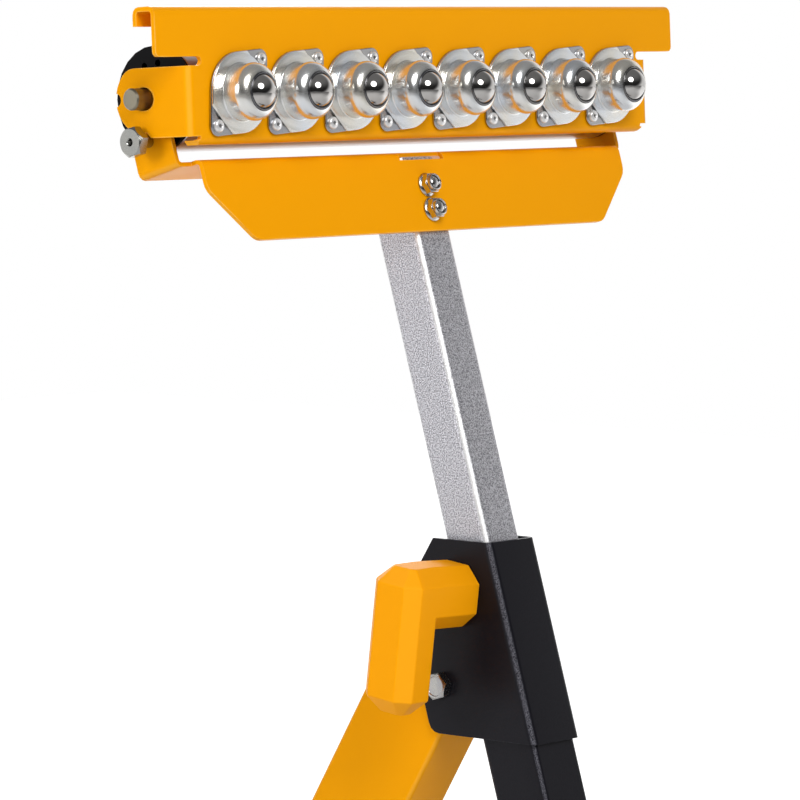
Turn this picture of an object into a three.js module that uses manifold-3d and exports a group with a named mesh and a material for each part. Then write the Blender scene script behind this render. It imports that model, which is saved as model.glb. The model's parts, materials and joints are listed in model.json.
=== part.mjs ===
// Folding roller stand with a three-way head: a roller, a row of ball units and a guide channel.
// The head turns on the roller's axle, the post slides in the front leg and the rear leg folds.
// Millimetres, +Z up, front towards -Y, origin on the floor at the middle of the footprint.
import * as THREE from 'three';
import { mergeVertices } from 'three/addons/utils/BufferGeometryUtils.js';
import Module from 'manifold-3d';

// Driving dimensions
const AXLE_HEIGHT = 835;
const POST_LEAN = THREE.MathUtils.degToRad(16.7);
const HEAD_LEAN = THREE.MathUtils.degToRad(2.8);
const REAR_LEAN = THREE.MathUtils.degToRad(31);
const SEAT_GAP = 0.3;
const SLIDE_GAP = 0.4;

const HEAD_LENGTH = 416;
const HEAD_SHEET = 2.4;
const HEAD_BEND = 4;
const HEAD_FRONT = 33;
const HEAD_TOP = 44.8;
const HEAD_BOTTOM = 24;
const HOOK_DEPTH = 14.8;
const HOOK_LIP = 9.6;
const BOTTOM_FLANGE = 10;
const BOTTOM_CHAMFER = 2;
const BOTTOM_SETBACK = 6;
const WING_LOWER = 19.9;
const WING_CORNER = 2.6;
const TAB_SPAN = 370.4;
const TAB_TOP = 15.5;
const TAB_BOTTOM = 19.6;
const TAB_RIM = 17.2;
const TAB_SHOULDER = 11;
const TAB_FLANK = 2.4;
const TAB_LIFT = 3.2;
const RELIEF_RUN = 7.4;
const LOWER_RELIEF = 1.6;

const BALL_COUNT = 8;
const BALL_PITCH = 42.9;
const BALL_RADIUS = 9.525;
const BALL_STANDOFF = 13.7;
const BALL_ROW_UP = 1.7;
const HOUSING_HEIGHT = 17.8;
const HOUSING_FLANGE = 1.5;
const HOUSING_PLATFORM = 2.6;
const HOUSING_DISC = 20.5;
const HOUSING_BOSS = 20;
const HOUSING_BOSS_HEIGHT = 3.4;
const HOUSING_SHOULDER = 17.6;
const HOUSING_NECK = 14.6;
const HOUSING_FILLET = 1;
const HOUSING_DOME = 6.8;
const HOUSING_DOME_DROP = 6.4;
const HOUSING_RIM = 10.3;
const RIVET_SPACING = 46.7;
const RIVET_RADIUS = 2;
const LOBE_RADIUS = 5.2;
const LOBE_STEP = 19.4;

const AXLE_RADIUS = 5.5;
const AXLE_LENGTH = 386;
const AXLE_CHAMFER = 0.8;
const ROLLER_RADIUS = 26.8;
const ROLLER_WALL = 1.5;
const CAP_FLANGE = 1.8;
const CAP_SPIGOT = 14;
const CAP_RING = 2;
const CAP_HOLES = 12;
const CAP_HOLE_RADIUS = 2.05;
const CAP_HOLE_CIRCLE = 18;
const CAP_HOLE_TURN = THREE.MathUtils.degToRad(-9);
const BEARING_RADIUS = 13;
const BEARING_WIDTH = 8;
const WASHER_RADIUS = 10;

const YOKE_SHEET = 2.3;
const YOKE_BEND = 4;
const YOKE_EAR_GAP = 2.3;
const YOKE_EAR_CLEAR = 3.8;
const YOKE_FLOOR_DROP = 35.2;
const EAR_FRONT = 8.5;
const EAR_BACK = 18.5;
const EAR_TOP_RADIUS = 13;
const APRON_LENGTH = 337;
const APRON_BOTTOM_LENGTH = 280;
const APRON_SHOULDER = 16;
const APRON_DEPTH = 43.4;
const APRON_CORNER = 9;
const POST_NOTCH = 35;
const POST_NOTCH_DEPTH = 4.8;

const PIN_DROP = 21.3;
const PIN_RADIUS = 3;
const PIN_TAIL_RADIUS = 2.4;
const PIN_HEX = 14;
const PIN_HEX_THICK = 5.5;
const PIN_HEX_OFFSET = 2.8;
const PIN_HOLE_RADIUS = 1.7;
const PIN_HOLE_DEPTH = 3.5;

const POST_WIDTH = 28.2;
const POST_WALL = 1.5;
const POST_CORNER = 4;
const POST_BACK = 0.8;
const POST_LENGTH = 565;
const GLIDE_HEIGHT = 25;
const GLIDE_SPIGOT = 20;
const YOKE_BOLT_RADIUS = 3;
const YOKE_BOLT_DROP = 18.2;
const YOKE_BOLT_SPACING = 13.4;
const YOKE_BOLT_SIDE = -1.4;
const YOKE_BOLT_HEX = 10;
const YOKE_BOLT_HEAD = 4;
const YOKE_NUT_FLANGE = 6.4;
const YOKE_NUT_FLANGE_THICK = 1.6;
const YOKE_NUT_HEIGHT = 5.4;
const YOKE_BOLT_END = 1;

const LEG_WIDTH = 34;
const LEG_WALL = 1.4;
const LEG_TOP_RISE = 15;
const SLEEVE_HEIGHT = 60;
const SLEEVE_COLLAR = 3;
const BRACKET_SHEET = 2;
const BRACKET_BEND = 4;
const BRACKET_TOP_RISE = 27.9;
const BRACKET_FOOT_DROP = 26.6;
const BRACKET_BACK = 14;
const BRACKET_TOP_BACK = 12.8;
const BRACKET_SHOULDER_DROP = 26;
const BRACKET_CORNER = 7;

const LEVER_DROP = 267;
const LEVER_BACK = 4.1;
const LEVER_TURN = THREE.MathUtils.degToRad(23.7);
const LEVER_REACH = 52.7;
const LEVER_WIDTH = 26.8;
const LEVER_FRONT = 10.1;
const LEVER_REAR = 21.8;
const LEVER_TOP = 14.7;
const LEVER_RISE = 1.4;
const LEVER_HUB_LOW = 18.1;
const LEVER_TIP = 61;
const LEVER_CHAMFER = 7;
const LEVER_RIM = 8.5;
const SCREW_RADIUS = 5;
const SCREW_GRIP = 20;
const INSERT_WALL = 2;

const PIVOT_DROP = 310.8;
const PIVOT_BACK = 33.4;
const PIVOT_BOLT_RADIUS = 4;
const PIVOT_HEX = 13;
const PIVOT_HEAD = 5.3;
const PIVOT_NUT = 6.5;
const PIVOT_BOLT_END = 1.5;
const BUSH_WALL = 2;
const REAR_DEPTH = 55.7;
const REAR_WALL = 1.6;
const REAR_FRONT = 11.3;
const TUBE_CORNER = 3;

const FOOT_BAR = 31.75;
const FOOT_BAR_WALL = 1.6;
const FRONT_BAR_LENGTH = 444;
const REAR_BAR_LENGTH = 352;
const FOOT_SOLE = 6;
const FOOT_GRIP = 38;
const FOOT_WALL = 4;
const FOOT_HALF_BASE = 27;
const FOOT_EDGE = 3;

const ROUND_SIDES = 24;
const SMALL_SIDES = 16;
const LOBE_SIDES = 8;
const RIVET_SIDES = 6;
const ARC_STEPS = 3;

// Closed solids joined and cut
const wasm = await Module();
wasm.setup();

function toSolid(geometry) {
  const bare = geometry.clone();
  bare.deleteAttribute('normal');
  bare.deleteAttribute('uv');
  const merged = mergeVertices(bare, 1e-4);
  const vertProperties = merged.attributes.position.array;
  const triVerts = new Uint32Array(merged.index.array);
  return new wasm.Manifold(new wasm.Mesh({ numProp: 3, vertProperties, triVerts }));
}

function toGeometry(solid) {
  const mesh = solid.getMesh();
  const geometry = new THREE.BufferGeometry();
  geometry.setAttribute('position', new THREE.BufferAttribute(mesh.vertProperties, 3));
  geometry.setIndex(new THREE.BufferAttribute(mesh.triVerts, 1));
  geometry.computeVertexNormals();
  return geometry;
}

const join = (...pieces) => toGeometry(pieces.map(toSolid).reduce((a, b) => a.add(b)));
const common = (...pieces) => toGeometry(pieces.map(toSolid).reduce((a, b) => a.intersect(b)));
const cut = (body, ...tools) =>
  toGeometry(tools.map(toSolid).reduce((a, b) => a.subtract(b), toSolid(body)));

// Outlines: corners are [u, v] or [u, v, fillet radius]
function outline(corners) {
  const path = [];
  corners.forEach(([u, v, radius = 0], i) => {
    const here = new THREE.Vector2(u, v);
    if (radius <= 0) {
      path.push(here);
      return;
    }
    const [bu, bv] = corners.at(i - 1);
    const [au, av] = corners[(i + 1) % corners.length];
    const toBefore = new THREE.Vector2(bu, bv).sub(here).normalize();
    const toAfter = new THREE.Vector2(au, av).sub(here).normalize();
    const half = Math.acos(toBefore.dot(toAfter)) / 2;
    const centre = toBefore.clone().add(toAfter).setLength(radius / Math.sin(half)).add(here);
    const start = toBefore.multiplyScalar(radius / Math.tan(half)).add(here).sub(centre).angle();
    const end = toAfter.multiplyScalar(radius / Math.tan(half)).add(here).sub(centre).angle();
    const turn = THREE.MathUtils.euclideanModulo(end - start + Math.PI, 2 * Math.PI) - Math.PI;
    for (let k = 0; k <= ARC_STEPS; k++) {
      const angle = start + (turn * k) / ARC_STEPS;
      path.push(new THREE.Vector2(Math.cos(angle), Math.sin(angle)).multiplyScalar(radius).add(centre));
    }
  });
  return path;
}

// A sheet of one thickness bent along a line of outer-face points, lying to the left of travel
function bentSheet(points, thickness, bend) {
  const outer = points.map(([u, v]) => new THREE.Vector2(u, v));
  const last = outer.length - 1;
  const inner = outer.map((here, i) => {
    const before = outer[i].clone().sub(outer[Math.max(i - 1, 0)]);
    const after = outer[Math.min(i + 1, last)].clone().sub(outer[i]);
    const first = (i === 0 ? after : before).normalize();
    const second = (i === last ? first.clone() : after).normalize();
    const left = new THREE.Vector2(-first.y - second.y, first.x + second.x).normalize();
    const stretch = thickness / left.dot(new THREE.Vector2(-first.y, first.x));
    return left.multiplyScalar(stretch).add(here);
  });
  const inside = (i) => i > 0 && i < last;
  const near = outer.map((p, i) => [p.x, p.y, inside(i) ? bend : 0]);
  const far = inner.map((p, i) => [p.x, p.y, inside(i) ? bend - thickness : 0]).reverse();
  return outline([...near, ...far]);
}

function circle(radius, sides = ROUND_SIDES, u = 0, v = 0) {
  const at = (k) => (2 * Math.PI * k) / sides;
  return Array.from({ length: sides }, (_, k) => {
    return new THREE.Vector2(u + radius * Math.cos(at(k)), v + radius * Math.sin(at(k)));
  });
}

function hexagon(acrossFlats, u = 0, v = 0) {
  return circle(acrossFlats / Math.sqrt(3), 6, u, v);
}

function square(u, v, corner) {
  return outline([[-u, -v, corner], [u, -v, corner], [u, v, corner], [-u, v, corner]]);
}

// Extrusions of an outline along each axis, between two coordinates on that axis
function prism(path, holes, length) {
  const shape = new THREE.Shape(path);
  shape.holes = holes.map((hole) => new THREE.Path(hole));
  return new THREE.ExtrudeGeometry(shape, { depth: length, bevelEnabled: false, curveSegments: 1 });
}

const X_AXIS = new THREE.Vector3(1, 0, 0);
const Y_AXIS = new THREE.Vector3(0, 1, 0);
const Z_AXIS = new THREE.Vector3(0, 0, 1);
const ALONG_X = new THREE.Matrix4().makeBasis(Y_AXIS, Z_AXIS, X_AXIS);
const ALONG_Y = new THREE.Matrix4().makeBasis(X_AXIS, Z_AXIS, Y_AXIS.clone().negate());

const alongX = (path, x0, x1, holes = []) =>
  prism(path, holes, x1 - x0).applyMatrix4(ALONG_X).translate(x0, 0, 0);
const alongY = (path, y0, y1, holes = []) =>
  prism(path, holes, y1 - y0).applyMatrix4(ALONG_Y).translate(0, y1, 0);
const alongZ = (path, z0, z1, holes = []) => prism(path, holes, z1 - z0).translate(0, 0, z0);

function block(x0, x1, y0, y1, z0, z1) {
  const box = new THREE.BoxGeometry(x1 - x0, y1 - y0, z1 - z0);
  return box.translate((x0 + x1) / 2, (y0 + y1) / 2, (z0 + z1) / 2);
}

// A profile of [radius, x] corners turned about the X axis
function turned(profile, sides = ROUND_SIDES) {
  const points = profile.map(([radius, x]) => new THREE.Vector2(radius, x));
  return new THREE.LatheGeometry(points, sides).rotateZ(-Math.PI / 2);
}

function ring(inner, outer, x0, x1, sides = ROUND_SIDES) {
  return turned([[inner, x0], [outer, x0], [outer, x1], [inner, x1], [inner, x0]], sides);
}

const mirrorX = (geometry) => {
  const solid = toSolid(geometry).mirror([1, 0, 0]);
  return toGeometry(solid);
};

// Materials
const finish = (color, roughness, metalness) =>
  new THREE.MeshStandardMaterial({ color, roughness, metalness });
const yellowCoat = finish(0xf3a300, 0.35, 0);
const blackCoat = finish(0x202024, 0.5, 0);
const speckledSilver = finish(0xb4b6ba, 0.45, 0.7);
const zincSteel = finish(0xc9cdd2, 0.3, 1);
const dullSteel = finish(0x8f8b84, 0.5, 1);
const chromeSteel = finish(0xd8d8da, 0.08, 1);
const blackPlastic = finish(0x17171a, 0.55, 0);
const whiteNylon = finish(0xdedcd4, 0.5, 0);
const yellowPlastic = finish(0xffb21e, 0.45, 0);
const blackRubber = finish(0x1b1b1b, 0.85, 0);

function piece(name, geometry, material) {
  const mesh = new THREE.Mesh(geometry, material);
  mesh.name = name;
  return mesh;
}

// Shared places along the axle, from the tabs inwards
const tabOuter = TAB_SPAN / 2;
const tabInner = tabOuter - HEAD_SHEET;
const earOuter = tabInner - YOKE_EAR_CLEAR;
const earInner = earOuter - YOKE_SHEET;
const capFace = earInner - YOKE_EAR_GAP;
const rollerEnd = capFace - CAP_FLANGE - SEAT_GAP;
const axleHole = AXLE_RADIUS + SEAT_GAP;

// Head plate: one bent sheet with guide channel, bottom flange and two end tabs
function headPlate() {
  const half = HEAD_LENGTH / 2;
  const profile = bentSheet(
    [
      [HOOK_DEPTH - HEAD_FRONT, HEAD_TOP - HOOK_LIP],
      [HOOK_DEPTH - HEAD_FRONT, HEAD_TOP],
      [-HEAD_FRONT, HEAD_TOP],
      [-HEAD_FRONT, -HEAD_BOTTOM],
      [BOTTOM_FLANGE - HEAD_FRONT, -HEAD_BOTTOM],
    ],
    HEAD_SHEET,
    HEAD_BEND,
  );
  const strip = alongX(profile, -half, half);
  const front = -HEAD_FRONT - 1;
  const back = HOOK_DEPTH - HEAD_FRONT + 1;
  const bendStart = tabOuter - HEAD_BEND;
  const reliefEnd = tabOuter - RELIEF_RUN;
  const reliefTop = (WING_LOWER + TAB_TOP) / 2;
  const reliefHalf = (WING_LOWER - TAB_TOP) / 2;
  const lowerTop = -TAB_BOTTOM;
  const lowerEnd = -TAB_BOTTOM - LOWER_RELIEF;
  const stripEnd = tabOuter - BOTTOM_SETBACK;
  const endCuts = [-1, 1].flatMap((side) => {
    const span = (a, b) => (side > 0 ? [a, b] : [-b, -a]);
    const chamfer = [
      [side * (stripEnd + 1), -HEAD_BOTTOM - 1],
      [side * (stripEnd - BOTTOM_CHAMFER - 1), -HEAD_BOTTOM - 1],
      [side * (stripEnd + 1), BOTTOM_CHAMFER + 1 - HEAD_BOTTOM],
    ];
    const wing = [
      [side * (half + 1), WING_LOWER - 1],
      [side * (half + 1), WING_LOWER + WING_CORNER],
      [side * half, WING_LOWER + WING_CORNER],
      [side * half, WING_LOWER, WING_CORNER],
      [side * (half - WING_CORNER), WING_LOWER],
      [side * (half - WING_CORNER), WING_LOWER - 1],
    ];
    return [
      block(...span(bendStart, half + 1), front, back, lowerEnd, WING_LOWER),
      block(...span(reliefEnd, half + 1), front, back, TAB_TOP, WING_LOWER),
      alongY(circle(reliefHalf, SMALL_SIDES, side * reliefEnd, reliefTop), front, back),
      block(...span(reliefEnd, half + 1), front, back, lowerEnd, lowerTop),
      block(...span(stripEnd, half + 1), front, back, -HEAD_BOTTOM - 1, lowerEnd + 1),
      alongY(side > 0 ? outline(chamfer) : outline(chamfer.reverse()), front, back),
      alongY(side > 0 ? outline(wing) : outline(wing.reverse()), front, back),
    ];
  });
  const corner = bentSheet(
    [[reliefEnd - HEAD_BEND, -HEAD_FRONT], [tabOuter, -HEAD_FRONT], [tabOuter, TAB_RIM + 1]],
    HEAD_SHEET,
    HEAD_BEND,
  );
  const shoulderZ = TAB_TOP - TAB_SHOULDER;
  const shoulderTurn = Math.asin(shoulderZ / (TAB_RIM - TAB_SHOULDER));
  const shoulderY = (TAB_RIM - TAB_SHOULDER) * Math.cos(shoulderTurn);
  const flankFoot = -PIN_RADIUS - TAB_LIFT + SLIDE_GAP;
  const rimStart = -Math.acos((flankFoot + TAB_FLANK) / TAB_RIM);
  const arc = (y, z, radius, start, end, steps) =>
    Array.from({ length: steps + 1 }, (_, k) => {
      const angle = start + ((end - start) * k) / steps;
      return [y + radius * Math.cos(angle), z + radius * Math.sin(angle)];
    });
  const side = outline([
    [-HEAD_FRONT - 1, -TAB_BOTTOM],
    [flankFoot, -TAB_BOTTOM],
    ...arc(0, 0, TAB_RIM, rimStart, shoulderTurn, 4 * ARC_STEPS),
    ...arc(shoulderY, shoulderZ, TAB_SHOULDER, shoulderTurn, Math.PI / 2, ARC_STEPS).slice(1),
    [-HEAD_FRONT - 1, TAB_TOP],
  ]);
  const slot = outline([
    [-TAB_LIFT - axleHole, -axleHole, axleHole * 0.999],
    [axleHole, -axleHole, axleHole * 0.999],
    [axleHole, axleHole, axleHole * 0.999],
    [-TAB_LIFT - axleHole, axleHole, axleHole * 0.999],
  ]);
  const notch = circle(PIN_RADIUS + SLIDE_GAP, SMALL_SIDES, TAB_RIM, 0);
  const flat = alongZ(corner, -TAB_BOTTOM, TAB_TOP);
  const past = tabOuter + 1;
  const tab = cut(
    common(flat, alongX(side, reliefEnd - HEAD_BEND - 1, past)),
    alongX(slot, tabInner - 1, past),
    alongX(notch, tabInner - 1, past),
  );
  return join(cut(strip, ...endCuts), tab, mirrorX(tab));
}

// Ball unit: pressed housing on a two-lobe flange with a trapped steel ball, made about its own axis
const ballX = (k) => (k - (BALL_COUNT - 1) / 2) * BALL_PITCH;

function ballHousing() {
  const pocket = BALL_RADIUS + SLIDE_GAP;
  const rimDrop = HOUSING_HEIGHT - BALL_STANDOFF;
  const rimAngle = Math.asin(rimDrop / pocket);
  const floorAngle = -1.2;
  const pocketSteps = 4;
  const pocketArc = Array.from({ length: pocketSteps + 1 }, (_, k) => {
    const angle = rimAngle + ((floorAngle - rimAngle) * k) / pocketSteps;
    return [pocket * Math.cos(angle), BALL_STANDOFF + pocket * Math.sin(angle)];
  });
  const pocketFloor = BALL_STANDOFF - pocket;
  const domeFoot = HOUSING_HEIGHT - HOUSING_DOME_DROP;
  const domeEdge = HOUSING_DOME * Math.SQRT1_2;
  const body = turned([
    [0, 0],
    [HOUSING_BOSS, 0],
    [HOUSING_BOSS, HOUSING_PLATFORM],
    [HOUSING_SHOULDER, HOUSING_BOSS_HEIGHT],
    [HOUSING_NECK + HOUSING_FILLET, HOUSING_BOSS_HEIGHT],
    [HOUSING_NECK, HOUSING_BOSS_HEIGHT + HOUSING_FILLET],
    [HOUSING_NECK, domeFoot],
    [HOUSING_NECK - HOUSING_DOME + domeEdge, domeFoot + domeEdge],
    [HOUSING_RIM, HOUSING_HEIGHT],
    ...pocketArc,
    [0, pocketFloor],
  ], SMALL_SIDES).rotateZ(-Math.PI / 2);
  const lobe = (RIVET_SPACING / 2) * Math.SQRT1_2;
  const slab = (depth) => {
    const disc = alongY(circle(HOUSING_DISC, SMALL_SIDES), -depth, 0);
    const ends = [-1, 1].map((side) => {
      return alongY(circle(LOBE_RADIUS, LOBE_SIDES, side * lobe, side * lobe), -depth, 0);
    });
    return toGeometry(wasm.Manifold.hull([disc, ...ends].map(toSolid)));
  };
  const reach = 2 * HOUSING_DISC;
  const between = block(-LOBE_STEP, LOBE_STEP, -reach, reach, -reach, reach).rotateY(-Math.PI / 4);
  const foot = join(slab(HOUSING_FLANGE), common(slab(HOUSING_PLATFORM), between));
  const holes = [-1, 1].map((side) => {
    return alongY(circle(RIVET_RADIUS, RIVET_SIDES, side * lobe, side * lobe), -HOUSING_FLANGE - 1, 1);
  });
  const core = alongY(circle(HOUSING_SHOULDER, SMALL_SIDES), -HOUSING_PLATFORM - 1, 1);
  return join(cut(foot, core, ...holes), body);
}

function ball() {
  return new THREE.SphereGeometry(BALL_RADIUS, 12, 8);
}

// Roller: steel tube with a plastic cap and a bearing in each end
function rollerTube() {
  return ring(ROLLER_RADIUS - ROLLER_WALL, ROLLER_RADIUS, -rollerEnd, rollerEnd, 32);
}

const capInner = capFace - CAP_FLANGE;
const bearingPocket = BEARING_RADIUS + SEAT_GAP;

function rollerCap() {
  const spigot = ROLLER_RADIUS - ROLLER_WALL - SEAT_GAP;
  const hub = bearingPocket + CAP_RING;
  const spigotEnd = capInner - CAP_SPIGOT;
  const disc = turned([
    [axleHole + 1, capFace],
    [axleHole + 1, capInner],
    [bearingPocket, capInner],
    [bearingPocket, spigotEnd],
    [hub, spigotEnd],
    [hub, capInner],
    [spigot - CAP_RING, capInner],
    [spigot - CAP_RING, spigotEnd],
    [spigot, spigotEnd],
    [spigot, capInner],
    [ROLLER_RADIUS, capInner],
    [ROLLER_RADIUS, capFace],
    [axleHole + 1, capFace],
  ], ROUND_SIDES);
  const holes = Array.from({ length: CAP_HOLES }, (_, k) => {
    const angle = (2 * Math.PI * k) / CAP_HOLES + CAP_HOLE_TURN;
    const u = CAP_HOLE_CIRCLE * Math.cos(angle);
    const v = CAP_HOLE_CIRCLE * Math.sin(angle);
    return alongX(circle(CAP_HOLE_RADIUS, 6, u, v), capInner - 1, capFace + 1);
  });
  return cut(disc, ...holes);
}

function rollerBearing() {
  const face = capInner - SEAT_GAP;
  return ring(axleHole, BEARING_RADIUS, face - BEARING_WIDTH, face);
}

function axle() {
  const end = AXLE_LENGTH / 2;
  const small = AXLE_RADIUS - AXLE_CHAMFER;
  return turned([
    [0, -end],
    [small, -end],
    [AXLE_RADIUS, AXLE_CHAMFER - end],
    [AXLE_RADIUS, end - AXLE_CHAMFER],
    [small, end],
    [0, end],
  ], ROUND_SIDES);
}

function spacerWasher() {
  return ring(axleHole, WASHER_RADIUS, earOuter + SEAT_GAP, tabInner - SEAT_GAP, SMALL_SIDES);
}

// Yoke: bent sheet with a floor, two ears for the axle and an apron bolted to the post
const apronInner = POST_BACK - POST_WIDTH / 2 - SEAT_GAP;
const apronOuter = apronInner - YOKE_SHEET;
const floorTop = -YOKE_FLOOR_DROP;
const floorUnder = floorTop - YOKE_SHEET;
const apronBottom = floorTop - APRON_DEPTH;
const yokeBoltZ = [0, 1].map((k) => floorTop - YOKE_BOLT_DROP - k * YOKE_BOLT_SPACING);
const pinY = PIN_DROP * Math.sin(POST_LEAN);
const pinZ = -PIN_DROP * Math.cos(POST_LEAN);

function yoke() {
  const half = APRON_LENGTH / 2;
  const low = APRON_BOTTOM_LENGTH / 2;
  const shoulder = floorTop - APRON_SHOULDER;
  const apronFold = bentSheet(
    [[EAR_BACK, floorTop], [apronOuter, floorTop], [apronOuter, apronBottom]],
    YOKE_SHEET,
    YOKE_BEND,
  );
  const apronFace = outline([
    [-half, floorTop + 1],
    [-half, shoulder, APRON_CORNER],
    [-low, apronBottom, APRON_CORNER],
    [low, apronBottom, APRON_CORNER],
    [half, shoulder, APRON_CORNER],
    [half, floorTop + 1],
  ]);
  const apron = common(alongX(apronFold, -half, half), alongY(apronFace, apronOuter - 1, EAR_BACK + 1));
  const cradleFold = bentSheet(
    [
      [-earOuter, EAR_TOP_RADIUS],
      [-earOuter, floorUnder],
      [earOuter, floorUnder],
      [earOuter, EAR_TOP_RADIUS],
    ],
    YOKE_SHEET,
    YOKE_BEND,
  );
  const earSide = outline([
    [-EAR_FRONT, floorUnder - 1],
    [EAR_BACK, floorUnder - 1],
    [EAR_BACK, -EAR_TOP_RADIUS, EAR_TOP_RADIUS / 2],
    [EAR_TOP_RADIUS, 0],
    [EAR_TOP_RADIUS, EAR_TOP_RADIUS, EAR_TOP_RADIUS * 0.99],
    [-EAR_TOP_RADIUS, EAR_TOP_RADIUS, EAR_TOP_RADIUS * 0.99],
    [-EAR_TOP_RADIUS, -EAR_TOP_RADIUS / 2, EAR_TOP_RADIUS / 2],
    [-EAR_FRONT, -EAR_TOP_RADIUS],
  ]);
  const cradle = common(
    alongY(cradleFold, -EAR_TOP_RADIUS, EAR_BACK),
    alongX(earSide, -earOuter - 1, earOuter + 1),
  );
  const boltHoles = yokeBoltZ.map((z) => {
    return alongY(circle(YOKE_BOLT_RADIUS + SEAT_GAP, SMALL_SIDES, YOKE_BOLT_SIDE, z), apronOuter - 1, 0);
  });
  const notchEnd = floorTop - POST_NOTCH_DEPTH;
  const notch = block(-POST_NOTCH / 2, POST_NOTCH / 2, apronOuter - 1, apronInner + 1, notchEnd, 0);
  return cut(
    join(apron, cradle),
    notch,
    alongX(circle(axleHole), -earOuter - 1, earOuter + 1),
    alongX(circle(PIN_TAIL_RADIUS + SEAT_GAP, SMALL_SIDES, pinY, pinZ), -earOuter - 1, 0),
    ...boltHoles,
  );
}

// Hexagonal stop pin riveted through the left ear, with a centre hole in its head
function stopPin() {
  const hexBack = -tabOuter - PIN_HEX_OFFSET;
  const hexFace = hexBack - PIN_HEX_THICK;
  const at = (radius) => circle(radius, SMALL_SIDES, pinY, pinZ);
  const hex = alongX(hexagon(PIN_HEX, pinY, pinZ), hexFace, hexBack);
  const bevel = turned([
    [0, hexFace],
    [PIN_HEX / 2, hexFace],
    [PIN_HEX, hexFace + PIN_HEX_THICK],
    [PIN_HEX, hexBack + 1],
    [0, hexBack + 1],
  ]).translate(0, pinY, pinZ);
  const hole = alongX(at(PIN_HOLE_RADIUS), hexFace - 1, hexFace + PIN_HOLE_DEPTH);
  const shank = alongX(at(PIN_RADIUS), hexBack - 1, -earOuter - SEAT_GAP);
  const tail = alongX(at(PIN_TAIL_RADIUS), -earOuter - 1, -earInner - SEAT_GAP);
  return join(cut(common(hex, bevel), hole), shank, tail);
}

// Post: square tube closed below by a glide that runs in the leg
const postTop = floorUnder - SEAT_GAP;
const postBottom = postTop - POST_LENGTH;
const postBore = POST_WIDTH / 2 - POST_WALL;
const legBore = LEG_WIDTH / 2 - LEG_WALL;

function postTube() {
  const half = POST_WIDTH / 2;
  const bore = square(postBore, postBore, POST_CORNER - POST_WALL);
  const tube = alongZ(square(half, half, POST_CORNER), postBottom, postTop, [bore]);
  const holes = yokeBoltZ.map((z) => {
    return alongY(circle(YOKE_BOLT_RADIUS + SEAT_GAP, SMALL_SIDES, YOKE_BOLT_SIDE, z), -half - 1, half + 1);
  });
  return cut(tube, ...holes);
}

function postGlide() {
  const shoe = legBore - SLIDE_GAP;
  const spigot = postBore - SEAT_GAP;
  const top = postBottom - SEAT_GAP;
  return join(
    alongZ(square(shoe, shoe, TUBE_CORNER - LEG_WALL), top - GLIDE_HEIGHT, top),
    alongZ(square(spigot, spigot, POST_CORNER - POST_WALL), top - 1, top + GLIDE_SPIGOT),
  );
}

// Yoke bolt from behind the post, and its flanged lock nut in front of the apron
const nutSeat = apronOuter - POST_BACK - SEAT_GAP;
const nutEnd = nutSeat - YOKE_NUT_FLANGE_THICK - YOKE_NUT_HEIGHT;

function yokeBolt(z) {
  const seat = POST_WIDTH / 2 + SEAT_GAP;
  return join(
    alongY(circle(YOKE_BOLT_RADIUS, SMALL_SIDES, YOKE_BOLT_SIDE, z), nutEnd - YOKE_BOLT_END, seat + 1),
    alongY(hexagon(YOKE_BOLT_HEX, YOKE_BOLT_SIDE, z), seat, seat + YOKE_BOLT_HEAD),
  );
}

function yokeNut(z) {
  const step = nutSeat - YOKE_NUT_FLANGE_THICK;
  const body = join(
    alongY(circle(YOKE_NUT_FLANGE, SMALL_SIDES, YOKE_BOLT_SIDE, z), step, nutSeat),
    alongY(hexagon(YOKE_BOLT_HEX, YOKE_BOLT_SIDE, z), nutEnd, step + 1),
  );
  const bore = circle(YOKE_BOLT_RADIUS + SEAT_GAP, SMALL_SIDES, YOKE_BOLT_SIDE, z);
  return cut(body, alongY(bore, nutEnd - 1, nutSeat + 1));
}

// Front leg: square tube with a guide sleeve for the post in its top
const legTop = LEG_TOP_RISE - LEVER_DROP;
const barLow = (lean) => (FOOT_BAR / 2) * (Math.cos(lean) + Math.abs(Math.sin(lean))) + FOOT_SOLE;
const frontBarRise = AXLE_HEIGHT - POST_BACK * Math.sin(POST_LEAN) - barLow(POST_LEAN);
const frontBarZ = -frontBarRise / Math.cos(POST_LEAN);
const legHalf = LEG_WIDTH / 2;
const insertRadius = SCREW_RADIUS + SEAT_GAP + INSERT_WALL;
const cheekInner = legHalf + SEAT_GAP;
const cheekOuter = cheekInner + BRACKET_SHEET;

function frontLeg() {
  const bottom = frontBarZ + FOOT_BAR / 2 + SEAT_GAP;
  const bore = square(legBore, legBore, TUBE_CORNER - LEG_WALL);
  const tube = alongZ(square(legHalf, legHalf, TUBE_CORNER), bottom, legTop, [bore]);
  const hole = circle(insertRadius + SEAT_GAP, ROUND_SIDES, LEVER_BACK, -LEVER_DROP);
  return cut(tube, alongX(hole, -legHalf - 1, -legBore + 1));
}

function guideSleeve() {
  const inner = POST_WIDTH / 2 + SEAT_GAP;
  const outer = legBore - SEAT_GAP;
  const collarFoot = legTop + SEAT_GAP;
  const hollow = square(inner, inner, POST_CORNER);
  const sleeve = join(
    alongZ(square(outer, outer, TUBE_CORNER), legTop - SLEEVE_HEIGHT, collarFoot + 1, [hollow]),
    alongZ(square(legHalf, legHalf, TUBE_CORNER), collarFoot, collarFoot + SLEEVE_COLLAR, [hollow]),
  );
  const hole = circle(SCREW_RADIUS + SEAT_GAP, ROUND_SIDES, LEVER_BACK, -LEVER_DROP);
  return cut(sleeve, alongX(hole, -outer - 1, -inner + 1));
}

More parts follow.
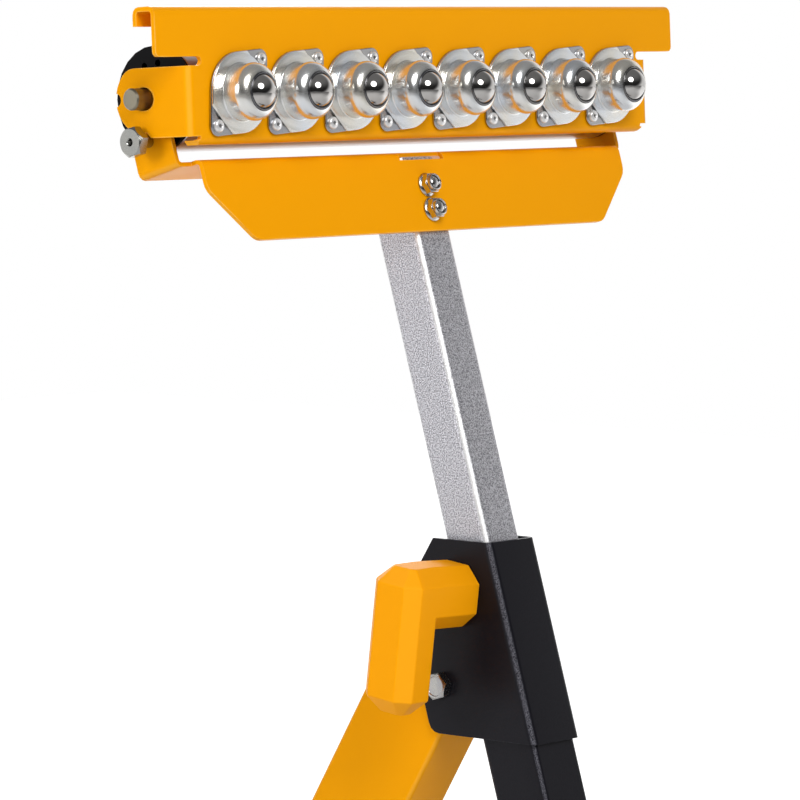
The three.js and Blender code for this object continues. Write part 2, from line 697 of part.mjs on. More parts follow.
// Hinge bracket: sheet bent round the leg, its two cheeks carrying the rear leg's pivot
function hingeBracket() {
  const slope = Math.tan(POST_LEAN);
  const top = (y) => BRACKET_TOP_RISE - LEVER_DROP + (y - LEVER_BACK) * slope;
  const bottom = (y) => -BRACKET_FOOT_DROP - PIVOT_DROP + (y - PIVOT_BACK) * slope;
  const rear = PIVOT_BACK + BRACKET_BACK;
  const topRear = LEVER_BACK + BRACKET_TOP_BACK;
  const wrap = bentSheet(
    [
      [-cheekOuter, rear],
      [-cheekOuter, -cheekOuter],
      [cheekOuter, -cheekOuter],
      [cheekOuter, rear],
    ],
    BRACKET_SHEET,
    BRACKET_BEND,
  );
  const front = -cheekOuter - 1;
  const cheek = outline([
    [front, bottom(front)],
    [rear, bottom(rear), BRACKET_CORNER],
    [rear, top(topRear) - BRACKET_SHOULDER_DROP, BRACKET_CORNER],
    [topRear, top(topRear)],
    [front, top(front)],
  ]);
  const lowest = bottom(front) - 1;
  const highest = top(rear) + 1;
  const insertHole = circle(insertRadius + SEAT_GAP, ROUND_SIDES, LEVER_BACK, -LEVER_DROP);
  const pivotHole = circle(PIVOT_BOLT_RADIUS + SEAT_GAP, ROUND_SIDES, PIVOT_BACK, -PIVOT_DROP);
  return cut(
    common(alongZ(wrap, lowest, highest), alongX(cheek, -cheekOuter - 1, cheekOuter + 1)),
    alongX(insertHole, -cheekOuter - 1, 0),
    alongX(pivotHole, -cheekOuter - 1, cheekOuter + 1),
  );
}

// Threaded insert through the left cheek and the leg's wall
function threadedInsert() {
  const outside = ring(SCREW_RADIUS + SEAT_GAP, insertRadius, -cheekOuter, -legBore);
  return outside.translate(0, LEVER_BACK, -LEVER_DROP);
}

// Pivot bolt through both cheeks, with its lock nut
function pivotBolt() {
  const seat = cheekOuter + SEAT_GAP;
  const end = seat + PIVOT_NUT + PIVOT_BOLT_END;
  return join(
    alongX(hexagon(PIVOT_HEX, PIVOT_BACK, -PIVOT_DROP), -seat - PIVOT_HEAD, -seat),
    alongX(circle(PIVOT_BOLT_RADIUS, ROUND_SIDES, PIVOT_BACK, -PIVOT_DROP), -seat - 1, end),
  );
}

function pivotNut() {
  const seat = cheekOuter + SEAT_GAP;
  const hole = circle(PIVOT_BOLT_RADIUS + SEAT_GAP, ROUND_SIDES, PIVOT_BACK, -PIVOT_DROP);
  const body = alongX(hexagon(PIVOT_HEX, PIVOT_BACK, -PIVOT_DROP), seat, seat + PIVOT_NUT);
  return cut(body, alongX(hole, seat - 1, seat + PIVOT_NUT + 1));
}

// Lock lever: moulded handle with chamfered faces, about the screw's axis
const leverInner = cheekOuter + SEAT_GAP;
const leverOuter = leverInner + LEVER_REACH;

function chamfered(u0, u1, v0, v1, chamfer) {
  return [
    [u0 + chamfer, v0], [u1 - chamfer, v0], [u1, v0 + chamfer], [u1, v1 - chamfer],
    [u1 - chamfer, v1], [u0 + chamfer, v1], [u0, v1 - chamfer], [u0, v0 + chamfer],
  ].map(([u, v]) => new THREE.Vector2(u, v));
}

function lockLever() {
  const inner = LEVER_WIDTH - leverOuter;
  const gripTop = LEVER_TOP + LEVER_RISE;
  const gripSides = chamfered(-leverOuter, inner, -LEVER_FRONT, LEVER_REAR, LEVER_CHAMFER);
  const endChamfer = LEVER_CHAMFER - LEVER_RIM * (2 - Math.SQRT2);
  const gripEnds = chamfered(
    LEVER_RIM - leverOuter,
    inner - LEVER_RIM,
    LEVER_RIM - LEVER_FRONT,
    LEVER_REAR - LEVER_RIM,
    endChamfer,
  );
  const grip = wasm.Manifold.hull([
    toSolid(alongZ(gripSides, LEVER_RIM - LEVER_TIP, gripTop - LEVER_RIM)),
    toSolid(alongZ(gripEnds, -LEVER_TIP, gripTop)),
  ]);
  const hubSlice = (rise, start, end) => {
    const low = rise - LEVER_HUB_LOW;
    const sides = chamfered(-LEVER_FRONT, LEVER_REAR, low, LEVER_TOP + rise, LEVER_RIM);
    return toSolid(alongX(sides, start, end));
  };
  const hub = wasm.Manifold.hull([
    hubSlice(LEVER_RISE, inner - LEVER_WIDTH / 2, inner),
    hubSlice(0, -leverInner - 1, -leverInner),
  ]);
  const socket = alongX(circle(SCREW_RADIUS + SEAT_GAP), -leverInner - SCREW_GRIP, -leverInner + 1);
  return cut(join(toGeometry(grip), toGeometry(hub)), socket);
}

function lockScrew() {
  const tip = -POST_WIDTH / 2 - SEAT_GAP;
  return alongX(circle(SCREW_RADIUS), -leverInner - SCREW_GRIP + SEAT_GAP, tip);
}

// Rear leg: rectangular tube about its pivot, its top mitred to stop against the front leg
const foldAngle = POST_LEAN + REAR_LEAN;
const pivotBack = POST_BACK + PIVOT_BACK;
const pivotY = pivotBack * Math.cos(POST_LEAN) - PIVOT_DROP * Math.sin(POST_LEAN);
const pivotZ = AXLE_HEIGHT - pivotBack * Math.sin(POST_LEAN) - PIVOT_DROP * Math.cos(POST_LEAN);
const rearMiddle = REAR_DEPTH / 2 - REAR_FRONT;
const rearBarRise = pivotZ + rearMiddle * Math.sin(REAR_LEAN) - barLow(REAR_LEAN);
const rearBarZ = -rearBarRise / Math.cos(REAR_LEAN);
const bushRadius = PIVOT_BOLT_RADIUS + SEAT_GAP + BUSH_WALL;

function rearLeg() {
  const half = LEG_WIDTH / 2;
  const deep = REAR_DEPTH / 2;
  const bottom = rearBarZ + FOOT_BAR / 2 + SEAT_GAP;
  const bore = square(half - REAR_WALL, deep - REAR_WALL, TUBE_CORNER - REAR_WALL);
  const tube = alongZ(square(half, deep, TUBE_CORNER), bottom, REAR_DEPTH + LEG_WIDTH, [bore]);
  const reach = 2 * REAR_DEPTH;
  const stopFace = legHalf + SLIDE_GAP - PIVOT_BACK;
  const topFace = PIVOT_DROP + legTop;
  const mitre = block(-LEG_WIDTH, LEG_WIDTH, -4 * reach, stopFace, -reach, 3 * reach);
  const crop = block(-LEG_WIDTH, LEG_WIDTH, -2 * reach, 2 * reach, topFace, 4 * reach);
  const hole = alongX(circle(bushRadius + SEAT_GAP), -half - 1, half + 1);
  return cut(
    tube.translate(0, rearMiddle, 0),
    mitre.rotateX(-foldAngle),
    crop.rotateX(-foldAngle),
    hole,
  );
}

function rearBush() {
  const half = LEG_WIDTH / 2;
  return ring(PIVOT_BOLT_RADIUS + SEAT_GAP, bushRadius, -half, half);
}

// Foot bars and the rubber feet on their ends
function footBar(length) {
  const half = FOOT_BAR / 2;
  const inside = half - FOOT_BAR_WALL;
  const bore = square(inside, inside, TUBE_CORNER - FOOT_BAR_WALL);
  return alongX(square(half, half, TUBE_CORNER), -length / 2, length / 2, [bore]);
}

// A foot in the bar's place but unturned, so that its sole lies flat on the floor
function rubberFoot(length, lean) {
  const low = -barLow(lean);
  const half = FOOT_BAR / 2;
  const shell = half + FOOT_WALL;
  const end = length / 2 + SEAT_GAP + FOOT_WALL;
  const start = length / 2 - FOOT_GRIP;
  const base = outline([
    [-FOOT_HALF_BASE, low, FOOT_EDGE],
    [FOOT_HALF_BASE, low, FOOT_EDGE],
    [FOOT_HALF_BASE, low + 3 * FOOT_EDGE],
    [-FOOT_HALF_BASE, low + 3 * FOOT_EDGE],
  ]);
  const boot = alongX(square(shell, shell, TUBE_CORNER + FOOT_WALL), start, end).rotateX(lean);
  const sole = alongX(base, start, end);
  const hull = toGeometry(wasm.Manifold.hull([toSolid(boot), toSolid(sole)]));
  const fit = half + SEAT_GAP;
  const pocket = alongX(square(fit, fit, TUBE_CORNER), start - 1, length / 2 + SEAT_GAP);
  return cut(hull, pocket.rotateX(lean));
}

// Assembly: the axle is the reference for the post and the head
const frontBarY = frontBarZ * Math.sin(POST_LEAN) + POST_BACK * Math.cos(POST_LEAN);
const rearBarY =
  pivotY + rearMiddle * Math.cos(REAR_LEAN) - rearBarZ * Math.sin(REAR_LEAN);
const axleY = -(frontBarY + rearBarY) / 2;

const stand = new THREE.Group();

const postFrame = new THREE.Group();
postFrame.position.set(0, axleY, AXLE_HEIGHT);
postFrame.rotation.x = -POST_LEAN;
stand.add(postFrame);

postFrame.add(
  piece('yoke', yoke(), yellowCoat),
  piece('stop_pin', stopPin(), zincSteel),
  piece('axle', axle(), dullSteel),
  piece('spacer_washer_left', mirrorX(spacerWasher()), yellowCoat),
  piece('spacer_washer_right', spacerWasher(), yellowCoat),
  piece('roller_tube', rollerTube(), chromeSteel),
  piece('roller_cap_left', mirrorX(rollerCap()), blackPlastic),
  piece('roller_cap_right', rollerCap(), blackPlastic),
  piece('roller_bearing_left', mirrorX(rollerBearing()), dullSteel),
  piece('roller_bearing_right', rollerBearing(), dullSteel),
);

// The column of post and front leg stands a little behind the axle
const column = new THREE.Group();
column.position.y = POST_BACK;
column.add(
  piece('front_leg_tube', frontLeg(), blackCoat),
  piece('guide_sleeve', guideSleeve(), blackPlastic),
  piece('hinge_bracket', hingeBracket(), blackCoat),
  piece('threaded_insert', threadedInsert(), zincSteel),
  piece('pivot_bolt', pivotBolt(), zincSteel),
  piece('pivot_nut', pivotNut(), zincSteel),
  piece('post_tube', postTube(), speckledSilver),
  piece('post_glide', postGlide(), blackPlastic),
);
['upper', 'lower'].forEach((place, k) => {
  column.add(
    piece('yoke_bolt_' + place, yokeBolt(yokeBoltZ[k]), zincSteel),
    piece('yoke_nut_' + place, yokeNut(yokeBoltZ[k]), zincSteel),
  );
});
postFrame.add(column);

const frontBar = piece('front_foot_bar', footBar(FRONT_BAR_LENGTH), blackCoat);
frontBar.position.z = frontBarZ;
column.add(frontBar);

const leverFrame = new THREE.Group();
leverFrame.position.set(0, LEVER_BACK, -LEVER_DROP);
leverFrame.rotation.x = LEVER_TURN;
leverFrame.add(piece('lock_lever', lockLever(), yellowPlastic));
leverFrame.add(piece('lock_screw', lockScrew(), zincSteel));
column.add(leverFrame);

const headFrame = new THREE.Group();
headFrame.position.set(0, axleY, AXLE_HEIGHT);
headFrame.rotation.x = -HEAD_LEAN;
headFrame.add(piece('head_plate', headPlate(), yellowCoat));
for (let k = 0; k < BALL_COUNT; k++) {
  const unit = new THREE.Group();
  unit.position.set(ballX(k), -HEAD_FRONT - SEAT_GAP, BALL_ROW_UP);
  const steelBall = piece('ball_' + (k + 1), ball(), chromeSteel);
  steelBall.position.y = -BALL_STANDOFF;
  unit.add(piece('ball_housing_' + (k + 1), ballHousing(), zincSteel), steelBall);
  headFrame.add(unit);
}
stand.add(headFrame);

const rearFrame = new THREE.Group();
rearFrame.position.set(0, axleY + pivotY, pivotZ);
rearFrame.rotation.x = REAR_LEAN;
rearFrame.add(piece('rear_leg_tube', rearLeg(), yellowCoat));
rearFrame.add(piece('rear_leg_bush', rearBush(), whiteNylon));
const rearBar = piece('rear_foot_bar', footBar(REAR_BAR_LENGTH), blackCoat);
rearBar.position.set(0, rearMiddle, rearBarZ);
rearFrame.add(rearBar);
stand.add(rearFrame);

const feet = [
  ['front', FRONT_BAR_LENGTH, -POST_LEAN, axleY + frontBarY],
  ['rear', REAR_BAR_LENGTH, REAR_LEAN, axleY + rearBarY],
];
feet.forEach(([place, length, lean, y]) => {
  const foot = rubberFoot(length, lean);
  const left = piece(place + '_foot_left', mirrorX(foot), blackRubber);
  const right = piece(place + '_foot_right', foot, blackRubber);
  left.position.set(0, y, barLow(lean));
  right.position.set(0, y, barLow(lean));
  stand.add(left, right);
});

export default stand;
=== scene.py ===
import json
import math

import bmesh
import bpy
from mathutils import Matrix, Vector


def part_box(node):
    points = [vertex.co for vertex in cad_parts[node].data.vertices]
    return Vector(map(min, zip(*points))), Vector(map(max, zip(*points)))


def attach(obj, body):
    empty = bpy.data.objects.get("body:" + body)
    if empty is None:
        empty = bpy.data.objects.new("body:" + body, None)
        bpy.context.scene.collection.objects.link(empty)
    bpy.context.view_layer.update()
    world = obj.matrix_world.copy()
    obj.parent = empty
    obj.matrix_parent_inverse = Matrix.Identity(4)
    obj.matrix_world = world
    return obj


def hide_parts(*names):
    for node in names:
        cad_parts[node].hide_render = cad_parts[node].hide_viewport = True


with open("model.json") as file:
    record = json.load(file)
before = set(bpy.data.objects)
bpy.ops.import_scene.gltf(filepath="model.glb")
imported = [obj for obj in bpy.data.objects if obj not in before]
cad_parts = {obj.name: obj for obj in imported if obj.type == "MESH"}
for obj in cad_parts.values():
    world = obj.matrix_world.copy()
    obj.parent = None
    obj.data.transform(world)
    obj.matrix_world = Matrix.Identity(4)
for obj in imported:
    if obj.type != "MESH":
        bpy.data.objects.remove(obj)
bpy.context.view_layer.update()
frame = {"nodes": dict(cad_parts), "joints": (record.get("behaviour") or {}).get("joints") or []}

# Front leg and front foot bar: square steel tubes in satin black powder coat.
# The leg carries the stand's weight down to the bar, which is welded across its foot.
# The coat is slightly orange-peeled, with a painted highlight as a paler, speckled line along the
# bends.
EDGE_REACH = 0.0010
BLACK_EDGE_REACH = 0.0001
EDGE_FLAT = 0.995
EDGE_TURNED = 0.88
BREAK_LOW = 0.3
BREAK_HIGH = 0.6
BEND_START = 0.08
BEND_FULL = 0.24
SPECKLE_SCALE = 1900.0
SPECKLE_LOW = 0.42
SPECKLE_HIGH = 0.62
COAT_BEND = (0.25, 0.25)
# Strength of the painted highlight along the black coat's upright bends.
BLACK_BEND = (0.08, 0.7)
COAT_SPECULAR = 0.12
COAT_GLOSS_SPREAD = 0.06
COAT_RELIEF = 0.0002
PLAIN_SHEEN = (1, 1, 1, 1)
LEG_EDGE = 0.0007
WELD_DISTANCE = 2e-6
FLAT_ANGLE = 0.5
BLACK_COAT = (0.0072, 0.0068, 0.0100, 1)
# Paler colour of the black edges and bends: mostly a painted highlight along the bends.
BLACK_EDGE = (0.17, 0.17, 0.20, 1)


def new_group(name, inputs, outputs):
    """A shader node group with its named inputs and outputs."""
    group = bpy.data.node_groups.new(name, "ShaderNodeTree")
    for socket, kind, value in inputs:
        made = group.interface.new_socket(socket, in_out="INPUT", socket_type=kind)
        made.default_value = value
    for socket, kind in outputs:
        group.interface.new_socket(socket, in_out="OUTPUT", socket_type=kind)
    return group


def link(tree, start, end):
    """Joins the output of one node to the input of another."""
    tree.links.new(start, end)


def add(tree, kind, **settings):
    """A new node of a kind, with its settings."""
    node = tree.nodes.new(kind)
    for key, value in settings.items():
        setattr(node, key, value)
    return node


def span(tree, start, end, low=0.0, high=1.0, **settings):
    """A node that maps the range from start to end onto the one from low to high."""
    node = add(tree, "ShaderNodeMapRange", **settings)
    limits = {"From Min": start, "From Max": end, "To Min": low, "To Max": high}
    for socket, value in limits.items():
        node.inputs[socket].default_value = value
    return node


# Grain of a sprayed or moulded surface: a fine height and a broad mottle.
grain_group = new_group(
    "surface_grain",
    [("Fine Scale", "NodeSocketFloat", 900.0), ("Broad Scale", "NodeSocketFloat", 30.0)],
    [("Height", "NodeSocketFloat"), ("Mottle", "NodeSocketFloat")],
)
grain_in = add(grain_group, "NodeGroupInput")
grain_out = add(grain_group, "NodeGroupOutput")
grain_place = add(grain_group, "ShaderNodeTexCoord")
fine_noise = add(grain_group, "ShaderNodeTexNoise")
fine_noise.inputs["Detail"].default_value = 2.0
broad_noise = add(grain_group, "ShaderNodeTexNoise")
broad_noise.inputs["Detail"].default_value = 4.0
link(grain_group, grain_place.outputs["Object"], fine_noise.inputs["Vector"])
link(grain_group, grain_place.outputs["Object"], broad_noise.inputs["Vector"])
link(grain_group, grain_in.outputs["Fine Scale"], fine_noise.inputs["Scale"])
link(grain_group, grain_in.outputs["Broad Scale"], broad_noise.inputs["Scale"])
link(grain_group, fine_noise.outputs["Fac"], grain_out.inputs["Height"])
link(grain_group, broad_noise.outputs["Fac"], grain_out.inputs["Mottle"])

# Worn and highlit corners: a mask of the edges, partly wear and partly painted highlight, and of
# the upright bends, where it is a painted highlight, broken up by noise. An upright bend is where
# the normal lies between sideways and forwards.
edge_group = new_group(
    "worn_edges_and_painted_highlight",
    [("Reach", "NodeSocketFloat", EDGE_REACH), ("Breakup Scale", "NodeSocketFloat", 60.0),
     ("Bend Low", "NodeSocketFloat", COAT_BEND[0]),
     ("Bend High", "NodeSocketFloat", COAT_BEND[1])],
    [("Mask", "NodeSocketFloat")],
)
edge_in = add(edge_group, "NodeGroupInput")
edge_out = add(edge_group, "NodeGroupOutput")
edge_place = add(edge_group, "ShaderNodeTexCoord")
edge_bevel = add(edge_group, "ShaderNodeBevel", samples=6)
edge_surface = add(edge_group, "ShaderNodeNewGeometry")
edge_turn = add(edge_group, "ShaderNodeVectorMath", operation="DOT_PRODUCT")
edge_step = span(edge_group, EDGE_FLAT, EDGE_TURNED)
edge_noise = add(edge_group, "ShaderNodeTexNoise")
edge_break = span(edge_group, BREAK_LOW, BREAK_HIGH)
edge_mix = add(edge_group, "ShaderNodeMath", operation="MULTIPLY")
# Upright bends: a painted highlight, speckled by noise.
bend_split = add(edge_group, "ShaderNodeSeparateXYZ")
bend_square = add(edge_group, "ShaderNodeMath", operation="MULTIPLY")
bend_rest = add(edge_group, "ShaderNodeMath", operation="SUBTRACT")
bend_rest.inputs[0].default_value = 1.0
bend_both = add(edge_group, "ShaderNodeMath", operation="MULTIPLY")
bend_step = span(edge_group, BEND_START, BEND_FULL, interpolation_type="SMOOTHSTEP")
speckle_noise = add(edge_group, "ShaderNodeTexNoise")
speckle_noise.inputs["Scale"].default_value = SPECKLE_SCALE
speckle_step = span(edge_group, SPECKLE_LOW, SPECKLE_HIGH)
bend_highlight = add(edge_group, "ShaderNodeMath", operation="MULTIPLY")
wear_and_highlight = add(edge_group, "ShaderNodeMath", operation="MAXIMUM")
link(edge_group, edge_in.outputs["Reach"], edge_bevel.inputs["Radius"])
link(edge_group, edge_bevel.outputs["Normal"], edge_turn.inputs[0])
link(edge_group, edge_surface.outputs["Normal"], edge_turn.inputs[1])
link(edge_group, edge_turn.outputs["Value"], edge_step.inputs["Value"])
link(edge_group, edge_place.outputs["Object"], edge_noise.inputs["Vector"])
link(edge_group, edge_in.outputs["Breakup Scale"], edge_noise.inputs["Scale"])
link(edge_group, edge_noise.outputs["Fac"], edge_break.inputs["Value"])
link(edge_group, edge_step.outputs["Result"], edge_mix.inputs[0])
link(edge_group, edge_break.outputs["Result"], edge_mix.inputs[1])
link(edge_group, edge_place.outputs["Normal"], bend_split.inputs["Vector"])
link(edge_group, bend_split.outputs["X"], bend_square.inputs[0])
link(edge_group, bend_split.outputs["X"], bend_square.inputs[1])
link(edge_group, bend_square.outputs["Value"], bend_rest.inputs[1])
link(edge_group, bend_square.outputs["Value"], bend_both.inputs[0])
link(edge_group, bend_rest.outputs["Value"], bend_both.inputs[1])
link(edge_group, bend_both.outputs["Value"], bend_step.inputs["Value"])
link(edge_group, edge_place.outputs["Object"], speckle_noise.inputs["Vector"])
link(edge_group, edge_in.outputs["Bend Low"], speckle_step.inputs["To Min"])
link(edge_group, edge_in.outputs["Bend High"], speckle_step.inputs["To Max"])
link(edge_group, speckle_noise.outputs["Fac"], speckle_step.inputs["Value"])
link(edge_group, bend_step.outputs["Result"], bend_highlight.inputs[0])
link(edge_group, speckle_step.outputs["Result"], bend_highlight.inputs[1])
# Edge wear with painted highlight, and the painted highlight on the bends, in one mask.
link(edge_group, edge_mix.outputs["Value"], wear_and_highlight.inputs[0])
link(edge_group, bend_highlight.outputs["Value"], wear_and_highlight.inputs[1])
link(edge_group, wear_and_highlight.outputs["Value"], edge_out.inputs["Mask"])


def coat_material(
    name, colour, edge_colour, roughness, fine_scale, bump,
    specular=COAT_SPECULAR, sheen=PLAIN_SHEEN, bend=COAT_BEND, reach=EDGE_REACH,
):
    """A powder coat: grain in the height, a slight mottle in the gloss, paler edges and bends
    that are partly wear and partly painted highlight.
    """
    material = bpy.data.materials.new(name)
    material.use_nodes = True
    tree = material.node_tree
    shader = tree.nodes["Principled BSDF"]
    shader.inputs["Specular IOR Level"].default_value = specular
    shader.inputs["Specular Tint"].default_value = sheen
    grain = add(tree, "ShaderNodeGroup", node_tree=grain_group)
    grain.inputs["Fine Scale"].default_value = fine_scale
    edges = add(tree, "ShaderNodeGroup", node_tree=edge_group)
    edges.inputs["Reach"].default_value = reach
    edges.inputs["Bend Low"].default_value, edges.inputs["Bend High"].default_value = bend
    # Towards the edge colour on the edges, partly wear and partly painted highlight, and on the
    # upright bends, a painted highlight.
    tint = add(tree, "ShaderNodeMix", data_type="RGBA")
    tint.inputs["A"].default_value = colour
    tint.inputs["B"].default_value = edge_colour
    gloss = span(tree, 0.0, 1.0, roughness - COAT_GLOSS_SPREAD, roughness + COAT_GLOSS_SPREAD)
    relief = add(tree, "ShaderNodeBump")
    relief.inputs["Strength"].default_value = bump
    relief.inputs["Distance"].default_value = COAT_RELIEF
    link(tree, edges.outputs["Mask"], tint.inputs["Factor"])
    link(tree, tint.outputs["Result"], shader.inputs["Base Color"])
    link(tree, grain.outputs["Mottle"], gloss.inputs["Value"])
    link(tree, gloss.outputs["Result"], shader.inputs["Roughness"])
    link(tree, grain.outputs["Height"], relief.inputs["Height"])
    link(tree, relief.outputs["Normal"], shader.inputs["Normal"])
    return material


def fit(piece, body, slot, material, *nodes):
    """Puts a finished piece on its body in place of the solids that it stands for."""
    bpy.context.scene.collection.objects.link(piece)
    piece.data.materials.clear()
    piece.data.materials.append(material)
    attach(piece, body)
    if nodes:
        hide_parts(*nodes)
    return piece


def eased_copy(name, node, edge, segments=2, angle=40):
    """The solid's own shape with its flat faces made whole and its corners rounded off."""
    bm = bmesh.new()
    bm.from_mesh(frame["nodes"][node].data)
    bmesh.ops.remove_doubles(bm, verts=bm.verts, dist=WELD_DISTANCE)
    bmesh.ops.dissolve_limit(
        bm, angle_limit=math.radians(FLAT_ANGLE), verts=bm.verts, edges=bm.edges
    )
    for face in bm.faces:
        face.smooth = True
    mesh = bpy.data.meshes.new(name)
    bm.to_mesh(mesh)
    bm.free()
    piece = bpy.data.objects.new(name, mesh)
    rounding = piece.modifiers.new("corners", "BEVEL")
    rounding.width = edge
    rounding.segments = segments
    rounding.limit_method = "ANGLE"
    rounding.angle_limit = math.radians(angle)
    flatness = piece.modifiers.new("flat_faces", "WEIGHTED_NORMAL")
    flatness.weight = 100
    flatness.keep_sharp = True
    return piece


black_coat = coat_material(
    "black_coat", BLACK_COAT, BLACK_EDGE, roughness=0.34, fine_scale=1400.0, bump=0.35,
    specular=0.13, bend=BLACK_BEND, reach=BLACK_EDGE_REACH,
)
for name, node in (("front_leg", "front_leg_tube"), ("front_bar", "front_foot_bar")):
    fit(eased_copy(name, node, LEG_EDGE), "frame", "black_coat", black_coat, node)

# Rubber feet: moulded boots pushed over the ends of both foot bars, with a flat sole.
# They grip the floor and are the only pieces that touch it.
FOOT_ROUND = 0.0022
RUBBER = (0.011, 0.011, 0.011, 1)
# Paler at the edges, from scuffs, and on the upright bends, a painted sheen.
RUBBER_SCUFF_AND_SHEEN = (0.035, 0.034, 0.033, 1)

foot_rubber = coat_material(
    "foot_rubber", RUBBER, RUBBER_SCUFF_AND_SHEEN,
    roughness=0.78, fine_scale=700.0, bump=0.5, specular=0.3,
)
for place, body in (("front", "frame"), ("rear", "rear_leg")):
    for hand in ("left", "right"):
        node = f"{place}_foot_{hand}"
        foot = eased_copy(f"{place}_boot_{hand}", node, FOOT_ROUND, segments=3, angle=30)
        fit(foot, body, "black_rubber", foot_rubber, node)

# Hinge bracket: steel sheet bent round the leg, in the same black coat as the leg.
# Its two cheeks hold the rear leg's pivot bolt and the threaded insert of the lock.
BRACKET_EDGE = 0.0005

fit(
    eased_copy("bracket", "hinge_bracket", BRACKET_EDGE),
    "frame", "black_coat", black_coat, "hinge_bracket",
)

# Guide sleeve and threaded insert: the plastic liner that the post slides in, and the
# steel bush in the left cheek that the lock screw turns in. Both are nearly hidden.
LINER_BLACK = (0.003, 0.003, 0.004, 1)
LINER_EDGE = (0.02, 0.02, 0.022, 1)
ZINC_COOL = (0.76, 0.79, 0.83, 1)
ZINC_WARM = (0.84, 0.80, 0.71, 1)
BRUSH_SCALE = 1100.0
BRUSH_RELIEF = 0.0001
DRIFT_LOW = 0.35
DRIFT_HIGH = 0.65

black_plastic = coat_material(
    "black_plastic", LINER_BLACK, LINER_EDGE,
    roughness=0.55, fine_scale=500.0, bump=0.2, specular=0.08,
)


def metal_material(name, cool, warm, roughness, spread, drift=25.0, bump=0.08, bare=1.0):
    """Bare or plated metal: a slow drift of tint, a brushed mottle in the gloss."""
    material = bpy.data.materials.new(name)
    material.use_nodes = True
    tree = material.node_tree
    shader = tree.nodes["Principled BSDF"]
    shader.inputs["Metallic"].default_value = bare
    grain = add(tree, "ShaderNodeGroup", node_tree=grain_group)
    grain.inputs["Fine Scale"].default_value = BRUSH_SCALE
    grain.inputs["Broad Scale"].default_value = drift
    spread_out = span(tree, DRIFT_LOW, DRIFT_HIGH)
    tint = add(tree, "ShaderNodeMix", data_type="RGBA")
    tint.inputs["A"].default_value = cool
    tint.inputs["B"].default_value = warm
    gloss = span(tree, 0.0, 1.0, roughness - spread, roughness + spread)
    relief = add(tree, "ShaderNodeBump")
    relief.inputs["Strength"].default_value = bump
    relief.inputs["Distance"].default_value = BRUSH_RELIEF
    link(tree, grain.outputs["Mottle"], spread_out.inputs["Value"])
    link(tree, spread_out.outputs["Result"], tint.inputs["Factor"])
    link(tree, tint.outputs["Result"], shader.inputs["Base Color"])
    link(tree, grain.outputs["Height"], gloss.inputs["Value"])
    link(tree, gloss.outputs["Result"], shader.inputs["Roughness"])
    link(tree, grain.outputs["Height"], relief.inputs["Height"])
    link(tree, relief.outputs["Normal"], shader.inputs["Normal"])
    return material


zinc_plate = metal_material(
    "zinc_plate", ZINC_COOL, ZINC_WARM,
    roughness=0.22, spread=0.03, drift=45.0, bump=0.02, bare=0.9,
)
for node, material in (("guide_sleeve", black_plastic), ("threaded_insert", zinc_plate)):
    frame["nodes"][node].data.materials.clear()
    frame["nodes"][node].data.materials.append(material)

# Rear leg: a deep rectangular steel tube in yellow powder coat with its own foot bar.
# It swings on a nylon bush and its mitred top stops against the front leg.
YELLOW_COAT = (0.92, 0.364, 0.0005, 1)
YELLOW_EDGE = (1.0, 0.56, 0.10, 1)
YELLOW_SHEEN = (1, 0.7, 0.1, 1)
NYLON = (0.62, 0.60, 0.54, 1)
NYLON_EDGE = (0.7, 0.68, 0.62, 1)
BUSH_EDGE = 0.0002

yellow_coat = coat_material(
    "yellow_coat", YELLOW_COAT, YELLOW_EDGE,
    roughness=0.36, fine_scale=800.0, bump=0.1, sheen=YELLOW_SHEEN,
)
nylon = coat_material("nylon", NYLON, NYLON_EDGE, roughness=0.45, fine_scale=400.0, bump=0.1)
for name, node, edge, slot, material in (
    ("rear_leg", "rear_leg_tube", LEG_EDGE, "yellow_coat", yellow_coat),
    ("rear_bar", "rear_foot_bar", LEG_EDGE, "black_coat", black_coat),
    ("leg_bush", "rear_leg_bush", BUSH_EDGE, "white_nylon", nylon),
):
    fit(eased_copy(name, node, edge), "rear_leg", slot, material, node)

# Pivot bolt and lock nut: a zinc-plated hexagon bolt through both cheeks of the bracket.
# The head sits on the left cheek under the lever, the nut on the right one.
PIVOT_FLATS = 0.013
PIVOT_ROUND = 0.004
PIVOT_FACE = ((0.0053, 0), (0.0049, 0.0005), (0, 0.0005))
PIVOT_COLLAR = (
    (0.0058, 0.002), (0.0056, 0.0003), (0.0052, 0),
    (0.0044, 0), (0.0043, 0.002), (0.0058, 0.002),
)
PIVOT_HEX_DROP = 0.0015
SHANK_CHAMFER = 0.0006
SHANK_STEPS = 32
HEX_STEPS = 48
CORNER_SLOPE = 0.55
CROWN_SHARE = 0.02
FACE_SHARE = 0.94
CLOSE_DISTANCE = 1e-6
BOLT_COOL = (0.57, 0.57, 0.59, 1)
BOLT_WARM = (0.61, 0.59, 0.55, 1)
DULL_COOL = (0.36, 0.36, 0.37, 1)
DULL_WARM = (0.44, 0.43, 0.41, 1)


def lathe(bm, profile, steps=48):
    """Spins a profile of (radius, height) points about Z into a closed skin."""
    verts = [bm.verts.new((radius, 0, height)) for radius, height in profile]
    edges = [bm.edges.new(pair) for pair in zip(verts, verts[1:])]
    bmesh.ops.spin(
        bm, geom=verts + edges, cent=(0, 0, 0), axis=(0, 0, 1), dvec=(0, 0, 0),
        angle=2 * math.pi, steps=steps, use_merge=True,
    )


